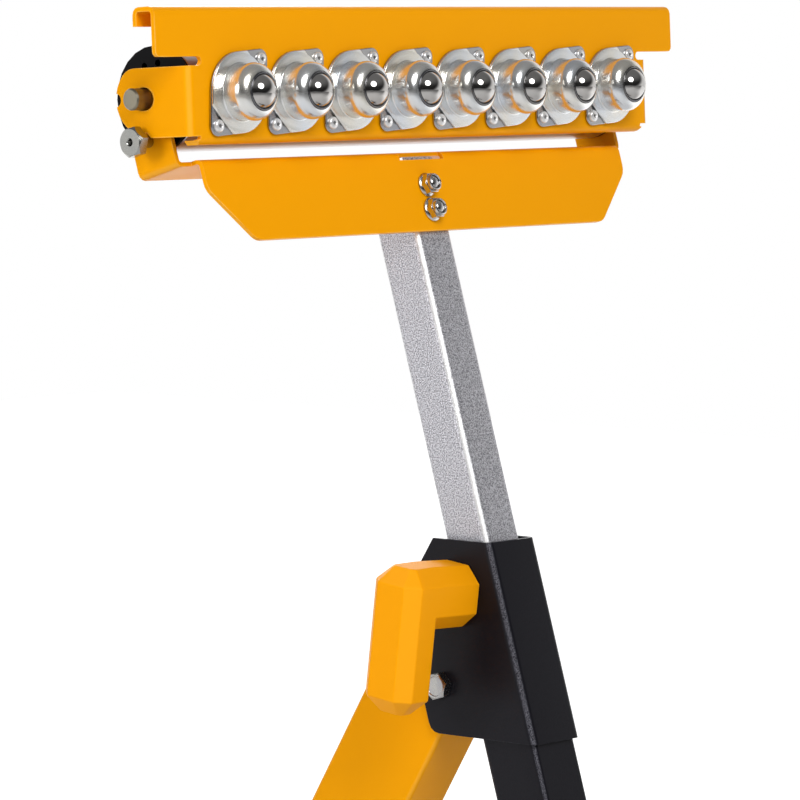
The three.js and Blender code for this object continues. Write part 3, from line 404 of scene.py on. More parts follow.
def hexagon_body(bm, flats, low, high, slope=CORNER_SLOPE, face=((0, 0),)):
    """A hexagon along Z, its corners turned off, with a face of (radius, depth) points on top."""
    made = bmesh.ops.create_circle(bm, cap_ends=True, segments=HEX_STEPS, radius=flats / 2)
    bottom = made["verts"][0].link_faces[0]
    for vert in made["verts"]:
        turn = math.atan2(vert.co.y, vert.co.x) % (math.pi / 3) - math.pi / 6
        vert.co = vert.co.normalized() * flats / 2 / math.cos(turn)
        vert.co.z = low
    top = bmesh.ops.extrude_face_region(bm, geom=[bottom])["geom"]
    for vert in [v for v in top if isinstance(v, bmesh.types.BMVert)]:
        vert.co.z = high - (vert.co.xy.length - flats / 2) * slope - flats * CROWN_SHARE
    cap = [f for f in top if isinstance(f, bmesh.types.BMFace)]
    rim = bmesh.ops.extrude_face_region(bm, geom=cap)["geom"]
    for vert in [v for v in rim if isinstance(v, bmesh.types.BMVert)]:
        vert.co.xy = vert.co.xy.normalized() * flats / 2 * FACE_SHARE
        vert.co.z = high
    covered = cap + [f for f in rim if isinstance(f, bmesh.types.BMFace)]
    bmesh.ops.delete(bm, geom=covered, context="FACES_ONLY")
    points = [(radius, high - depth) for radius, depth in face]
    lathe(bm, [(flats / 2 * FACE_SHARE, high)] + points)


def cast(name, bm, place, sharp=35):
    """Sets a bmesh into its place as a finished object, smooth except at its sharp edges."""
    bmesh.ops.remove_doubles(bm, verts=bm.verts, dist=CLOSE_DISTANCE)
    bmesh.ops.recalc_face_normals(bm, faces=bm.faces)
    bmesh.ops.transform(bm, matrix=place, verts=bm.verts)
    for face in bm.faces:
        face.smooth = True
    for edge in bm.edges:
        edge.smooth = edge.is_manifold and edge.calc_face_angle(0) < math.radians(sharp)
    mesh = bpy.data.meshes.new(name)
    bm.to_mesh(mesh)
    bm.free()
    return bpy.data.objects.new(name, mesh)


def middle(node):
    """The middle of a solid's box."""
    low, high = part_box(node)
    return (low + high) / 2


joints = {joint["name"]: joint for joint in frame["joints"]}
side = Vector((1, 0, 0))
post_up = Vector(joints["post_slide"]["axis"]).normalized()
post_front = side.cross(post_up).normalized()
pivot = Vector(joints["rear_fold"]["pos_m"])


def axes_at(centre, right, up):
    """The frame at a point whose X is right and whose Z is up."""
    back = up.cross(right)
    turn = Matrix((right, back, up)).transposed().to_4x4()
    return Matrix.Translation(centre) @ turn


bolt_low, bolt_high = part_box("pivot_bolt")
nut_low, nut_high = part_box("pivot_nut")
head_low = bolt_low.x
cheek_left = -nut_low.x
leftward = axes_at(Vector((0, pivot.y, pivot.z)), post_front, -side)
bm = bmesh.new()
hexagon_body(bm, PIVOT_FLATS, -cheek_left, -head_low, face=PIVOT_FACE)
shank_end = -bolt_high.x
lathe(bm, [
    (0, shank_end), (PIVOT_ROUND - SHANK_CHAMFER, shank_end),
    (PIVOT_ROUND, shank_end + SHANK_CHAMFER), (PIVOT_ROUND, -cheek_left), (0, -cheek_left),
], SHANK_STEPS)
zinc_bolt = metal_material("zinc_bolt", BOLT_COOL, BOLT_WARM, roughness=0.20, spread=0.06)
dull_zinc = metal_material(
    "dull_zinc", DULL_COOL, DULL_WARM, roughness=0.26, spread=0.08, drift=160.0
)
fit(cast("pivot_hexagon_bolt", bm, leftward), "frame", "zinc_steel", dull_zinc, "pivot_bolt")

rightward = axes_at(Vector((0, pivot.y, pivot.z)), post_front, side)
bm = bmesh.new()
hexagon_body(bm, PIVOT_FLATS, nut_low.x, nut_high.x - PIVOT_HEX_DROP)
lathe(bm, [(radius, nut_high.x - depth) for radius, depth in PIVOT_COLLAR], SHANK_STEPS)
fit(cast("pivot_lock_nut", bm, rightward), "frame", "zinc_steel", zinc_bolt, "pivot_nut")

# Lock lever: an L-shaped handle moulded in satin yellow plastic with broad flat chamfers.
# It turns a screw through the insert, which clamps the post in the leg.
LEVER_EDGE = 0.0007
SCREW_EDGE = 0.0004
LEVER_YELLOW = (0.97, 0.375, 0.003, 1)
LEVER_PALE = (1.0, 0.44, 0.03, 1)

lever_plastic = coat_material(
    "lever_plastic", LEVER_YELLOW, LEVER_PALE,
    roughness=0.46, fine_scale=1300.0, bump=0.2, sheen=YELLOW_SHEEN,
)
fit(
    eased_copy("lever", "lock_lever", LEVER_EDGE, segments=3, angle=20),
    "lever", "yellow_plastic", lever_plastic, "lock_lever",
)
fit(
    eased_copy("lever_screw", "lock_screw", SCREW_EDGE),
    "lever", "zinc_steel", zinc_bolt, "lock_screw",
)

# Post: a square steel tube in a speckled silver coat, sliding in the leg, with a plastic
# glide plugged into its foot. The coat is coarse, with pale flecks on a darker ground, and a
# painted highlight along its rounded corners.
POST_EDGE = 0.0006
GLIDE_EDGE = 0.0004
SILVER_FLECK = (0.64, 0.635, 0.675, 1)
SILVER_GROUND = (0.22, 0.217, 0.238, 1)
SILVER_CORNER_HIGHLIGHT = (0.90, 0.90, 0.90, 1)
SILVER_METAL = 0.62
FLECK_SCALE = 1350.0
FLECK_BROAD_SCALE = 700.0
FLECK_LOW = 0.38
FLECK_HIGH = 0.60
FLECK_SMOOTH = 0.34
FLECK_ROUGH = 0.48
FLECK_BUMP = 1.0
FLECK_RELIEF = 0.0002
CORNER_BRIGHT = 1.0

silver_coat = bpy.data.materials.new("silver_coat")
silver_coat.use_nodes = True
tree = silver_coat.node_tree
shader = tree.nodes["Principled BSDF"]
shader.inputs["Metallic"].default_value = SILVER_METAL
flecks = add(tree, "ShaderNodeGroup", node_tree=grain_group)
flecks.inputs["Fine Scale"].default_value = FLECK_SCALE
flecks.inputs["Broad Scale"].default_value = FLECK_BROAD_SCALE
fleck_step = span(tree, FLECK_LOW, FLECK_HIGH)
fleck_tint = add(tree, "ShaderNodeMix", data_type="RGBA")
fleck_tint.inputs["A"].default_value = SILVER_GROUND
fleck_tint.inputs["B"].default_value = SILVER_FLECK
# The rounded corners are paler: a painted highlight.
post_corner_highlight = add(tree, "ShaderNodeGroup", node_tree=edge_group)
post_corner_highlight.inputs["Bend Low"].default_value = CORNER_BRIGHT
post_corner_highlight.inputs["Bend High"].default_value = CORNER_BRIGHT
corner_tint = add(tree, "ShaderNodeMix", data_type="RGBA")
corner_tint.inputs["B"].default_value = SILVER_CORNER_HIGHLIGHT
fleck_gloss = span(tree, 0.0, 1.0, FLECK_SMOOTH, FLECK_ROUGH)
fleck_relief = add(tree, "ShaderNodeBump")
fleck_relief.inputs["Strength"].default_value = FLECK_BUMP
fleck_relief.inputs["Distance"].default_value = FLECK_RELIEF
link(tree, flecks.outputs["Height"], fleck_step.inputs["Value"])
link(tree, fleck_step.outputs["Result"], fleck_tint.inputs["Factor"])
link(tree, fleck_tint.outputs["Result"], corner_tint.inputs["A"])
link(tree, post_corner_highlight.outputs["Mask"], corner_tint.inputs["Factor"])
link(tree, corner_tint.outputs["Result"], shader.inputs["Base Color"])
link(tree, flecks.outputs["Mottle"], fleck_gloss.inputs["Value"])
link(tree, fleck_gloss.outputs["Result"], shader.inputs["Roughness"])
link(tree, flecks.outputs["Height"], fleck_relief.inputs["Height"])
link(tree, fleck_relief.outputs["Normal"], shader.inputs["Normal"])
for name, node, edge, slot, material in (
    ("post", "post_tube", POST_EDGE, "speckled_silver", silver_coat),
    ("glide", "post_glide", GLIDE_EDGE, "black_plastic", black_plastic),
):
    fit(eased_copy(name, node, edge), "post", slot, material, node)

# Yoke: yellow sheet with a floor under the roller, two ears for the axle and an apron
# bolted to the front of the post.
YOKE_EDGE = 0.0005

fit(eased_copy("yoke_sheet", "yoke", YOKE_EDGE), "post", "yellow_coat", yellow_coat, "yoke")

# Yoke bolts: two hexagon bolts from behind the post with flanged lock nuts on the apron.
# The nuts are bright zinc, with a round collar in which the end of the bolt just shows.
NUT_FLATS = 0.010
NUT_FLANGE = (
    (0.0031, 0), (0.0064, 0), (0.0064, 0.0004), (0.0062, 0.0008),
    (0.0050, 0.0016), (0.0031, 0.0016), (0.0031, 0),
)
NUT_SKIRT = 0.0008
NUT_HEX_TOP = 0.0050
NUT_COLLAR = 0.0047
NUT_MOUTH = 0.0033
NUT_LIP = ((0.0047, 0.0009), (0.0044, 0.0003), (0.0038, 0), (0.0037, 0.0001), (0.0033, 0.0012))
COLLAR_SUNK = 0.0002
BOLT_ROUND = 0.003
BOLT_HEAD = 0.004
BOLT_SUNK = 0.0005
BOLT_TIP = ((0.003, -0.0005), (0.0025, 0), (0.0012, 0.0003), (0, 0.0004))
BOLT_STEPS = 24

for place in ("upper", "lower"):
    bolt, nut = f"yoke_bolt_{place}", f"yoke_nut_{place}"
    seat = axes_at(middle(nut), side, post_front)
    corners = [seat.inverted() @ v.co for v in frame["nodes"][nut].data.vertices]
    nut_back = min(c.z for c in corners)
    nut_front = max(c.z for c in corners)
    hex_top = nut_back + NUT_HEX_TOP
    bm = bmesh.new()
    hexagon_body(bm, NUT_FLATS, nut_back + NUT_SKIRT, hex_top)
    lathe(bm, [(radius, nut_back + rise) for radius, rise in NUT_FLANGE])
    collar_foot = hex_top - COLLAR_SUNK
    collar = [(NUT_COLLAR, collar_foot)]
    collar += [(radius, nut_front - depth) for radius, depth in NUT_LIP]
    lathe(bm, collar + [(NUT_MOUTH, collar_foot), (NUT_COLLAR, collar_foot)])
    fit(cast(f"flange_nut_{place}", bm, seat), "post", "zinc_steel", zinc_bolt, nut)

    corners = [seat.inverted() @ v.co for v in frame["nodes"][bolt].data.vertices]
    head_back = min(c.z for c in corners)
    bolt_end = nut_front - BOLT_SUNK
    bm = bmesh.new()
    hexagon_body(bm, NUT_FLATS, -head_back - BOLT_HEAD, -head_back)
    bmesh.ops.transform(bm, matrix=Matrix.Rotation(math.pi, 4, "X"), verts=bm.verts)
    shank = [(0, head_back + BOLT_HEAD), (BOLT_ROUND, head_back + BOLT_HEAD)]
    shank += [(radius, bolt_end + rise) for radius, rise in BOLT_TIP]
    lathe(bm, shank, BOLT_STEPS)
    fit(cast(f"apron_bolt_{place}", bm, seat), "post", "zinc_steel", zinc_bolt, bolt)

# Stop pin: a turned hexagon pin riveted into the left ear. The head's tab rests on it, and
# its notch drops over it when the ball rollers face up. Its face has a drilled centre.
PIN_FLATS = 0.014
PIN_ROUND = 0.003
PIN_TAIL = 0.0024
PIN_LENGTH = 0.0055
PIN_GAP = 0.0003
PIN_SLOPE = 1.3
PIN_FACE = ((0.0021, 0), (0.0017, 0.0005), (0.0017, 0.0035), (0, 0.0045))
PIN_COOL = (0.33, 0.34, 0.33, 1)
PIN_WARM = (0.38, 0.375, 0.35, 1)

pin_low, pin_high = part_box("stop_pin")
pin_middle = middle("stop_pin")
pin_place = axes_at(Vector((0, pin_middle.y, pin_middle.z)), post_front, -side)
hex_face = -pin_low.x
hex_back = hex_face - PIN_LENGTH
pin_seat = PIN_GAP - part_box("yoke")[0].x
bm = bmesh.new()
hexagon_body(bm, PIN_FLATS, hex_back, hex_face, PIN_SLOPE, PIN_FACE)
lathe(bm, [
    (0, hex_back), (PIN_ROUND, hex_back), (PIN_ROUND, pin_seat),
    (PIN_TAIL, pin_seat), (PIN_TAIL, -pin_high.x), (0, -pin_high.x),
], SHANK_STEPS)
turned_steel = metal_material(
    "turned_steel", PIN_COOL, PIN_WARM, roughness=0.24, spread=0.06, drift=60.0
)
fit(cast("hexagon_stop_pin", bm, pin_place), "post", "zinc_steel", turned_steel, "stop_pin")

# Axle and spacer washers: a plain steel rod through the ears and the head's slotted tabs,
# with coated washers between them. The rod ends are chamfered and dull.
AXLE_ROUND = 0.0055
AXLE_CHAMFER = 0.0008
AXLE_COOL = (0.21, 0.20, 0.165, 1)
AXLE_WARM = (0.26, 0.235, 0.18, 1)
WASHER_ROUND = 0.010
WASHER_EDGE = 0.0004
WASHER_PLAY = 0.0002

axle_centre = Vector(joints["head_turn"]["pos_m"])
axle_place = axes_at(axle_centre, post_up, side)
axle_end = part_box("axle")[1].x
bm = bmesh.new()
lathe(bm, [
    (0, -axle_end), (AXLE_ROUND - AXLE_CHAMFER, -axle_end),
    (AXLE_ROUND, AXLE_CHAMFER - axle_end), (AXLE_ROUND, axle_end - AXLE_CHAMFER),
    (AXLE_ROUND - AXLE_CHAMFER, axle_end), (0, axle_end),
])
plain_steel = metal_material(
    "plain_steel", AXLE_COOL, AXLE_WARM, roughness=0.42, spread=0.08, drift=90.0, bump=0.2
)
fit(cast("axle_rod", bm, axle_place), "axle_shaft", "dull_steel", plain_steel, "axle")
washer_bore = AXLE_ROUND + WASHER_PLAY
for place in ("left", "right"):
    node = f"spacer_washer_{place}"
    low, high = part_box(node)
    bm = bmesh.new()
    lathe(bm, [
        (washer_bore, low.x), (WASHER_ROUND - WASHER_EDGE, low.x),
        (WASHER_ROUND, low.x + WASHER_EDGE), (WASHER_ROUND, high.x - WASHER_EDGE),
        (WASHER_ROUND - WASHER_EDGE, high.x), (washer_bore, high.x), (washer_bore, low.x),
    ])
    fit(cast(f"spacer_{place}", bm, axle_place), "axle_shaft", "yellow_coat", yellow_coat, node)

# Roller: a bright steel tube on two bearings in black moulded end caps. The caps have a
# ring of drain holes round the axle.
ROLLER_ROUND = 0.0268
ROLLER_WALL = 0.0015
ROLLER_EDGE = 0.0005
ROLLER_STEPS = 96
ROLLER_COOL = (0.59, 0.59, 0.63, 1)
ROLLER_WARM = (0.63, 0.62, 0.64, 1)
CAP_EDGE = 0.0004

tube_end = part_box("roller_tube")[1].x
bm = bmesh.new()
roller_bore = ROLLER_ROUND - ROLLER_WALL
lathe(bm, [
    (roller_bore, -tube_end), (ROLLER_ROUND - ROLLER_EDGE, -tube_end),
    (ROLLER_ROUND, ROLLER_EDGE - tube_end), (ROLLER_ROUND, tube_end - ROLLER_EDGE),
    (ROLLER_ROUND - ROLLER_EDGE, tube_end), (roller_bore, tube_end), (roller_bore, -tube_end),
], ROLLER_STEPS)
bright_steel = metal_material(
    "bright_steel", ROLLER_COOL, ROLLER_WARM, roughness=0.34, spread=0.05, drift=12.0, bare=0.95
)
fit(
    cast("roller_steel_tube", bm, axle_place),
    "roller", "bright_steel", bright_steel, "roller_tube",
)
for place in ("left", "right"):
    for name, node, slot, material in (
        ("end_cap", "roller_cap", "black_plastic", black_plastic),
        ("ball_bearing", "roller_bearing", "dull_steel", plain_steel),
    ):
        piece = eased_copy(f"{name}_{place}", f"{node}_{place}", CAP_EDGE)
        fit(piece, "roller", slot, material, f"{node}_{place}")

# Head plate: one yellow sheet bent into the guide channel at the top, a stiffening flange
# at the bottom and a slotted tab at each end that turns on the axle.
HEAD_EDGE = 0.0005

fit(
    eased_copy("head_sheet", "head_plate", HEAD_EDGE),
    "head", "yellow_coat", yellow_coat, "head_plate",
)

# Ball units: zinc-plated pressed housings on a two-lobed foot. The foot steps down at each
# lobe, where a bright blind rivet holds it, and a polished steel ball sits under a rolled rim.
UNIT_COUNT = 8
FOOT_SHEET = 0.0015
FOOT_PLATFORM = 0.0026
FOOT_MARGIN = 0.0005
FOOT_EDGE = 0.0004
FOOT_STEPS = 64
FOOT_FLAT_ANGLE = 0.01
LOBE_STEPS = 32
BOSS_HEIGHT = 0.0029
BOSS_ROUND = 0.0200
SHOULDER_ROUND = 0.0176
LOBE_ROUND = 0.0052
LOBE_REACH = 0.0165
STEP_REACH = 0.0194
STEP_SLOPE = 0.6
NECK_ROUND = 0.0146
NECK_LIP = 0.0004
NECK_FILLET = 0.0010
FILLET_STEPS = 4
DOME_ROUND = 0.0068
DOME_DROP = 0.0064
DOME_TURN = 71
DOME_STEPS = 12
RIM_GROOVE = 0.0005
RIM_SLOPE = 0.0001
RIM_MIDDLE = 0.0092
RIM_BEAD = 0.00045
BEAD_STEPS = 8
BALL_ROUND = 0.009525
BALL_PLAY = 0.0003
POCKET_TOP = 20
RIVET_ROUND = 0.0033
RIVET_DOME = 0.0014
RIVET_DOME_TURN = 70
RIVET_DOME_STEPS = 6
RIVET_BASE = 0.0003
RIVET_RISE = 0.0017
RIVET_HOLE = 0.0010
RIVET_CHAMFER = 0.0003
RIVET_STEPS = 32
MANDREL = ((0, 0), (0.0009, 0), (0.0009, 0.0003), (0.00045, 0.0005), (0, 0.0005))
MANDREL_STEPS = 24
SHARP_RIM = 40
BALL_COOL = (0.50, 0.49, 0.48, 1)
BALL_WARM = (0.53, 0.51, 0.49, 1)
LOBE_SHADE_COOL = (0.38, 0.39, 0.42, 1)
LOBE_SHADE_WARM = (0.48, 0.47, 0.45, 1)
RIM_SHADE_COOL = (0.20, 0.20, 0.215, 1)
RIM_SHADE_WARM = (0.24, 0.235, 0.225, 1)
MANDREL_SHADE_COOL = (0.05, 0.05, 0.05, 1)
MANDREL_SHADE_WARM = (0.07, 0.065, 0.06, 1)
RIVET_COOL = (0.80, 0.80, 0.81, 1)
RIVET_WARM = (0.84, 0.83, 0.81, 1)

head_back_axis = Vector(joints["head_lift"]["axis"]).normalized()
ball_steel = metal_material(
    "ball_steel", BALL_COOL, BALL_WARM, roughness=0.09, spread=0.02, drift=40.0, bump=0.0
)
# The lobes take a darker copy of the zinc: painted shade.
shaded_zinc_lobe = metal_material(
    "shaded_zinc_lobe", LOBE_SHADE_COOL, LOBE_SHADE_WARM, roughness=0.24, spread=0.04, bump=0.03
)
# The rolled rim takes a dark copy of the zinc: painted shade in a ring round the ball.
shaded_rim_zinc = metal_material("shaded_rim_zinc", RIM_SHADE_COOL, RIM_SHADE_WARM, roughness=0.2, spread=0.03, bump=0.02)
# The mandrel stub is near black: painted shade in the rivet's hole.
shaded_mandrel_steel = metal_material(
    "shaded_mandrel_steel", MANDREL_SHADE_COOL, MANDREL_SHADE_WARM, roughness=0.5, spread=0.05
)
rivet_steel = metal_material(
    "rivet_steel", RIVET_COOL, RIVET_WARM, roughness=0.24, spread=0.04, bare=0.6
)


def arc(centre, radius, start, end, steps):
    """Points (radius, height) on an arc of a profile, from start to end in degrees."""
    r, h = centre
    angles = [math.radians(start + (end - start) * k / steps) for k in range(steps + 1)]
    return [(r + radius * math.cos(a), h + radius * math.sin(a)) for a in angles]


def lobe_at(way):
    """The place of the lobe on the lower left, -1, or on the upper right, 1."""
    return Matrix.Translation((way * LOBE_REACH, way * LOBE_REACH, 0))


def foot_slab(bm, low, high):
    """A slab with the outline of the foot: the hull of a disc and two lobes."""
    for height in (low, high):
        lift = Matrix.Translation((0, 0, height))
        disc = BOSS_ROUND + FOOT_MARGIN
        bmesh.ops.create_circle(bm, segments=FOOT_STEPS, radius=disc, matrix=lift)
        for way in (-1, 1):
            place = lift @ lobe_at(way)
            bmesh.ops.create_circle(bm, segments=LOBE_STEPS, radius=LOBE_ROUND, matrix=place)
    bmesh.ops.convex_hull(bm, input=bm.verts)
    bmesh.ops.delete(bm, geom=[v for v in bm.verts if not v.link_faces], context="VERTS")
    bmesh.ops.dissolve_limit(bm, angle_limit=FOOT_FLAT_ANGLE, verts=bm.verts, edges=bm.edges)


def join(bm, other):
    """Moves the faces of one bmesh into another."""
    mesh = bpy.data.meshes.new("joined")
    other.to_mesh(mesh)
    other.free()
    bm.from_mesh(mesh)
    bpy.data.meshes.remove(mesh)


for number in range(1, UNIT_COUNT + 1):
    ball_node, housing_node = f"ball_{number}", f"ball_housing_{number}"
    ball_centre = Vector(joints[f"ball_{number}_roll"]["pos_m"])
    turn = axes_at(ball_centre, side, -head_back_axis)
    corners = [turn.inverted() @ v.co for v in frame["nodes"][housing_node].data.vertices]
    foot_low = min(c.z for c in corners)
    rim_high = max(c.z for c in corners)
    boss_high = foot_low + BOSS_HEIGHT
    step_low = foot_low + FOOT_SHEET

    foot = bmesh.new()
    foot_slab(foot, foot_low, step_low)
    platform = bmesh.new()
    foot_slab(platform, step_low, foot_low + FOOT_PLATFORM)
    for way in (-1, 1):
        step = way * STEP_REACH / math.sqrt(2)
        cut = bmesh.ops.bisect_plane(
            platform, geom=platform.verts[:] + platform.edges[:] + platform.faces[:],
            plane_co=(step, step, step_low), plane_no=(way, way, STEP_SLOPE * math.sqrt(2)),
            clear_outer=True,
        )
        cut_edges = [e for e in cut["geom_cut"] if isinstance(e, bmesh.types.BMEdge)]
        bmesh.ops.holes_fill(platform, edges=cut_edges)
    for name, shape, material in (("lobes", foot, shaded_zinc_lobe), ("step", platform, zinc_plate)):
        plate = cast(f"housing_{name}_{number}", shape, turn)
        soft = plate.modifiers.new("corners", "BEVEL")
        soft.width = FOOT_EDGE
        soft.segments = 2
        soft.limit_method = "ANGLE"
        fit(plate, "head", "zinc_steel", material)

    neck = NECK_ROUND - NECK_LIP
    profile = [(0, foot_low + FOOT_PLATFORM), (BOSS_ROUND, foot_low + FOOT_PLATFORM)]
    profile += [(SHOULDER_ROUND, boss_high)]
    fillet = (neck + NECK_FILLET, boss_high + NECK_FILLET)
    profile += arc(fillet, NECK_FILLET, 270, 180, FILLET_STEPS)
    profile += [(neck, rim_high - DOME_DROP - NECK_LIP)]
    dome = (NECK_ROUND - DOME_ROUND, rim_high - DOME_DROP)
    profile += arc(dome, DOME_ROUND, 0, DOME_TURN, DOME_STEPS)
    groove_low = rim_high - RIM_GROOVE
    profile += [(profile[-1][0] - RIM_SLOPE, groove_low)]
    profile += arc((0, 0), BALL_ROUND + BALL_PLAY, POCKET_TOP, -90, DOME_STEPS)
    bm = bmesh.new()
    lathe(bm, profile, FOOT_STEPS)
    housing = cast(f"housing_{number}", bm, turn, SHARP_RIM)
    fit(housing, "head", "zinc_steel", zinc_plate, housing_node)

    rim = [(RIM_MIDDLE + RIM_BEAD, groove_low)]
    rim += arc((RIM_MIDDLE, rim_high), RIM_BEAD, 0, 180, BEAD_STEPS)
    rim += [(RIM_MIDDLE - RIM_BEAD / 2, groove_low)]
    bm = bmesh.new()
    lathe(bm, rim + rim[:1], FOOT_STEPS)
    fit(cast(f"housing_rim_{number}", bm, turn, SHARP_RIM), "head", "zinc_steel", shaded_rim_zinc)

    bm = bmesh.new()
    mandrels = bmesh.new()
    for way in (-1, 1):
        rivet = bmesh.new()
        rivet_high = step_low + RIVET_RISE
        shoulder = (RIVET_ROUND - RIVET_DOME, step_low + RIVET_BASE)
        form = [(RIVET_HOLE, step_low), (RIVET_ROUND, step_low)]
        form += arc(shoulder, RIVET_DOME, 0, RIVET_DOME_TURN, RIVET_DOME_STEPS)
        form += [(RIVET_HOLE + RIVET_CHAMFER, rivet_high)]
        form += [(RIVET_HOLE, rivet_high - RIVET_CHAMFER)]
        lathe(rivet, form + form[:1], RIVET_STEPS)
        bmesh.ops.transform(rivet, matrix=lobe_at(way), verts=rivet.verts)
        join(bm, rivet)
        stub = bmesh.new()
        lathe(stub, [(radius, step_low + rise) for radius, rise in MANDREL], MANDREL_STEPS)
        bmesh.ops.transform(stub, matrix=lobe_at(way), verts=stub.verts)
        join(mandrels, stub)
    fit(cast(f"rivets_{number}", bm, turn), "head", "zinc_steel", rivet_steel)
    fit(cast(f"rivet_mandrels_{number}", mandrels, turn), "head", "dull_steel", shaded_mandrel_steel)

    bm = bmesh.new()
    bmesh.ops.create_uvsphere(bm, u_segments=48, v_segments=32, radius=BALL_ROUND)
    ball = cast(f"steel_ball_{number}", bm, turn)
    fit(ball, f"ball_{number}_body", "chrome_steel", ball_steel, ball_node)

# Studio: a pale floor, a white cove that the metal also sees, and soft round lamps.
# Away from the cove the room is dark and the floor dim in the metal's reflections, which
# gives the metal its contrast.
FLOOR_HALF = 6.0
FLOOR_PALE = (0.86, 0.86, 0.86, 1)
FLOOR_ROUGH = 0.9
FLOOR_FADE_START = 0.8
FLOOR_FADE_END = 1.6
FLOOR_FILL = 0.4
FLOOR_COVE_SIDE = (0.61, 0.79, 0)
FLOOR_DIM_AT = -1.0
FLOOR_BRIGHT_AT = 0.4
AMBIENT = 0.24
COVE_SIDE = (0.35, 0.45, -0.8)
ROOM_LOW = 0.025
ROOM_HIGH = 0.22
COVE_START = -0.40
COVE_FULL = 0.04
CEILING_START = 0.15
CEILING_FULL = 0.80
LAMP_AIM = Vector((0, 0, 0.75))

bm = bmesh.new()
bmesh.ops.create_grid(bm, x_segments=1, y_segments=1, size=FLOOR_HALF)
floor_mesh = bpy.data.meshes.new("floor")
bm.to_mesh(floor_mesh)
bm.free()
floor_piece = bpy.data.objects.new("floor", floor_mesh)
bpy.context.scene.collection.objects.link(floor_piece)
floor_paint = bpy.data.materials.new("floor_paint")
floor_paint.use_nodes = True
tree = floor_paint.node_tree
shader = tree.nodes["Principled BSDF"]
shader.inputs["Base Color"].default_value = FLOOR_PALE
shader.inputs["Roughness"].default_value = FLOOR_ROUGH
shader.inputs["Emission Color"].default_value = (1, 1, 1, 1)
floor_place = add(tree, "ShaderNodeTexCoord")
floor_reach = add(tree, "ShaderNodeVectorMath", operation="LENGTH")
floor_fade = span(tree, FLOOR_FADE_START, FLOOR_FADE_END)
floor_rays = add(tree, "ShaderNodeLightPath")
floor_mirrored = add(tree, "ShaderNodeMath", operation="MAXIMUM")
floor_side = add(tree, "ShaderNodeVectorMath", operation="DOT_PRODUCT")
floor_side.inputs[1].default_value = FLOOR_COVE_SIDE
floor_cove = span(tree, FLOOR_DIM_AT, FLOOR_BRIGHT_AT, interpolation_type="SMOOTHSTEP")
floor_shine = add(tree, "ShaderNodeMath", operation="MULTIPLY")
floor_seen = add(tree, "ShaderNodeMath", operation="MAXIMUM")
floor_fill = add(tree, "ShaderNodeMath", operation="MULTIPLY")
floor_fill.inputs[1].default_value = FLOOR_FILL
floor_least = add(tree, "ShaderNodeMath", operation="MAXIMUM")
floor_glow = add(tree, "ShaderNodeMath", operation="MULTIPLY")
link(tree, floor_place.outputs["Object"], floor_reach.inputs[0])
link(tree, floor_reach.outputs["Value"], floor_fade.inputs["Value"])
link(tree, floor_rays.outputs["Is Camera Ray"], floor_seen.inputs[0])
link(tree, floor_rays.outputs["Is Glossy Ray"], floor_mirrored.inputs[0])
link(tree, floor_rays.outputs["Is Transmission Ray"], floor_mirrored.inputs[1])
link(tree, floor_place.outputs["Object"], floor_side.inputs[0])
link(tree, floor_side.outputs["Value"], floor_cove.inputs["Value"])
link(tree, floor_mirrored.outputs["Value"], floor_shine.inputs[0])
link(tree, floor_cove.outputs["Result"], floor_shine.inputs[1])
link(tree, floor_shine.outputs["Value"], floor_seen.inputs[1])
link(tree, floor_rays.outputs["Is Diffuse Ray"], floor_fill.inputs[0])
link(tree, floor_seen.outputs["Value"], floor_least.inputs[0])
link(tree, floor_fill.outputs["Value"], floor_least.inputs[1])
link(tree, floor_least.outputs["Value"], floor_glow.inputs[0])
link(tree, floor_fade.outputs["Result"], floor_glow.inputs[1])
link(tree, floor_glow.outputs["Value"], shader.inputs["Emission Strength"])
floor_mesh.materials.append(floor_paint)

world = bpy.data.worlds.new("studio")
bpy.context.scene.world = world
world.use_nodes = True
sky = world.node_tree
sky.nodes.clear()
rays = add(sky, "ShaderNodeLightPath")
mirrored = add(sky, "ShaderNodeMath", operation="MAXIMUM")
way_out = add(sky, "ShaderNodeTexCoord")
towards_cove = add(sky, "ShaderNodeVectorMath", operation="DOT_PRODUCT")
towards_cove.inputs[1].default_value = COVE_SIDE
room = span(sky, COVE_START, COVE_FULL, interpolation_type="SMOOTHSTEP")
upwards = add(sky, "ShaderNodeSeparateXYZ")
ceiling = span(
    sky, CEILING_START, CEILING_FULL, ROOM_LOW, ROOM_HIGH, interpolation_type="SMOOTHSTEP"
)
reflected = add(sky, "ShaderNodeMix")
reflected.inputs["A"].default_value = AMBIENT
backdrop = add(sky, "ShaderNodeMix")
backdrop.inputs["B"].default_value = 1.0
surround = add(sky, "ShaderNodeBackground")
surround.inputs["Color"].default_value = (1, 1, 1, 1)
sky_out = add(sky, "ShaderNodeOutputWorld")
link(sky, rays.outputs["Is Glossy Ray"], mirrored.inputs[0])
link(sky, rays.outputs["Is Transmission Ray"], mirrored.inputs[1])
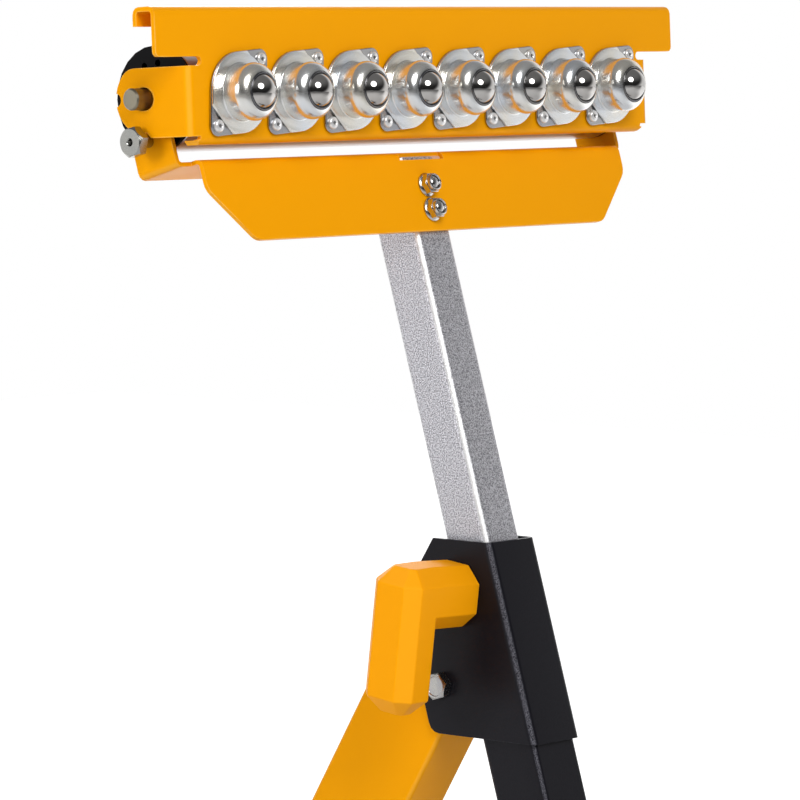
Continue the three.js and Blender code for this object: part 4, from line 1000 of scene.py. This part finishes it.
link(sky, way_out.outputs["Generated"], towards_cove.inputs[0])
link(sky, towards_cove.outputs["Value"], room.inputs["Value"])
link(sky, way_out.outputs["Generated"], upwards.inputs["Vector"])
link(sky, upwards.outputs["Z"], ceiling.inputs["Value"])
link(sky, ceiling.outputs["Result"], room.inputs["To Min"])
link(sky, mirrored.outputs["Value"], reflected.inputs["Factor"])
link(sky, room.outputs["Result"], reflected.inputs["B"])
link(sky, rays.outputs["Is Camera Ray"], backdrop.inputs["Factor"])
link(sky, reflected.outputs["Result"], backdrop.inputs["A"])
link(sky, backdrop.outputs["Result"], surround.inputs["Strength"])
link(sky, surround.outputs["Background"], sky_out.inputs["Surface"])

for name, place, size, power in (
    ("key", (-0.9, -1.75, 2.1), 1.3, 36.5),
    ("left", (-2.2, 0.55, 1.3), 1.0, 18.0),
    ("right_rear", (1.5, 1.9, 1.9), 1.3, 26.0),
):
    lamp = bpy.data.lights.new(name, "AREA")
    lamp.shape = "DISK"
    lamp.size = size
    lamp.energy = power
    lamp_piece = bpy.data.objects.new(name, lamp)
    lamp_piece.location = place
    aim = LAMP_AIM - Vector(place)
    lamp_piece.rotation_euler = aim.to_track_quat("-Z", "Y").to_euler()
    bpy.context.scene.collection.objects.link(lamp_piece)

# Camera: the photograph's view, from the front left and a little above the head, with a
# long lens. Its place is set from the axle.
LENS = 214.87
SENSOR_WIDTH = 36.0
FAR_LIMIT = 50.0
CAMERA_FROM_AXLE = Vector((-1.9136, -1.6507, 0.0445))
CAMERA_LOOK = Vector((0.75695, 0.64838, -0.08145))

camera = bpy.data.cameras.new("photo_view")
camera.lens = LENS
camera.sensor_width = SENSOR_WIDTH
camera.clip_end = FAR_LIMIT
camera_piece = bpy.data.objects.new("photo_view", camera)
camera_piece.location = axle_centre + CAMERA_FROM_AXLE
camera_piece.rotation_euler = CAMERA_LOOK.to_track_quat("-Z", "Y").to_euler()
bpy.context.scene.collection.objects.link(camera_piece)
bpy.context.scene.camera = camera_piece
bpy.context.scene.view_settings.view_transform = "Standard"
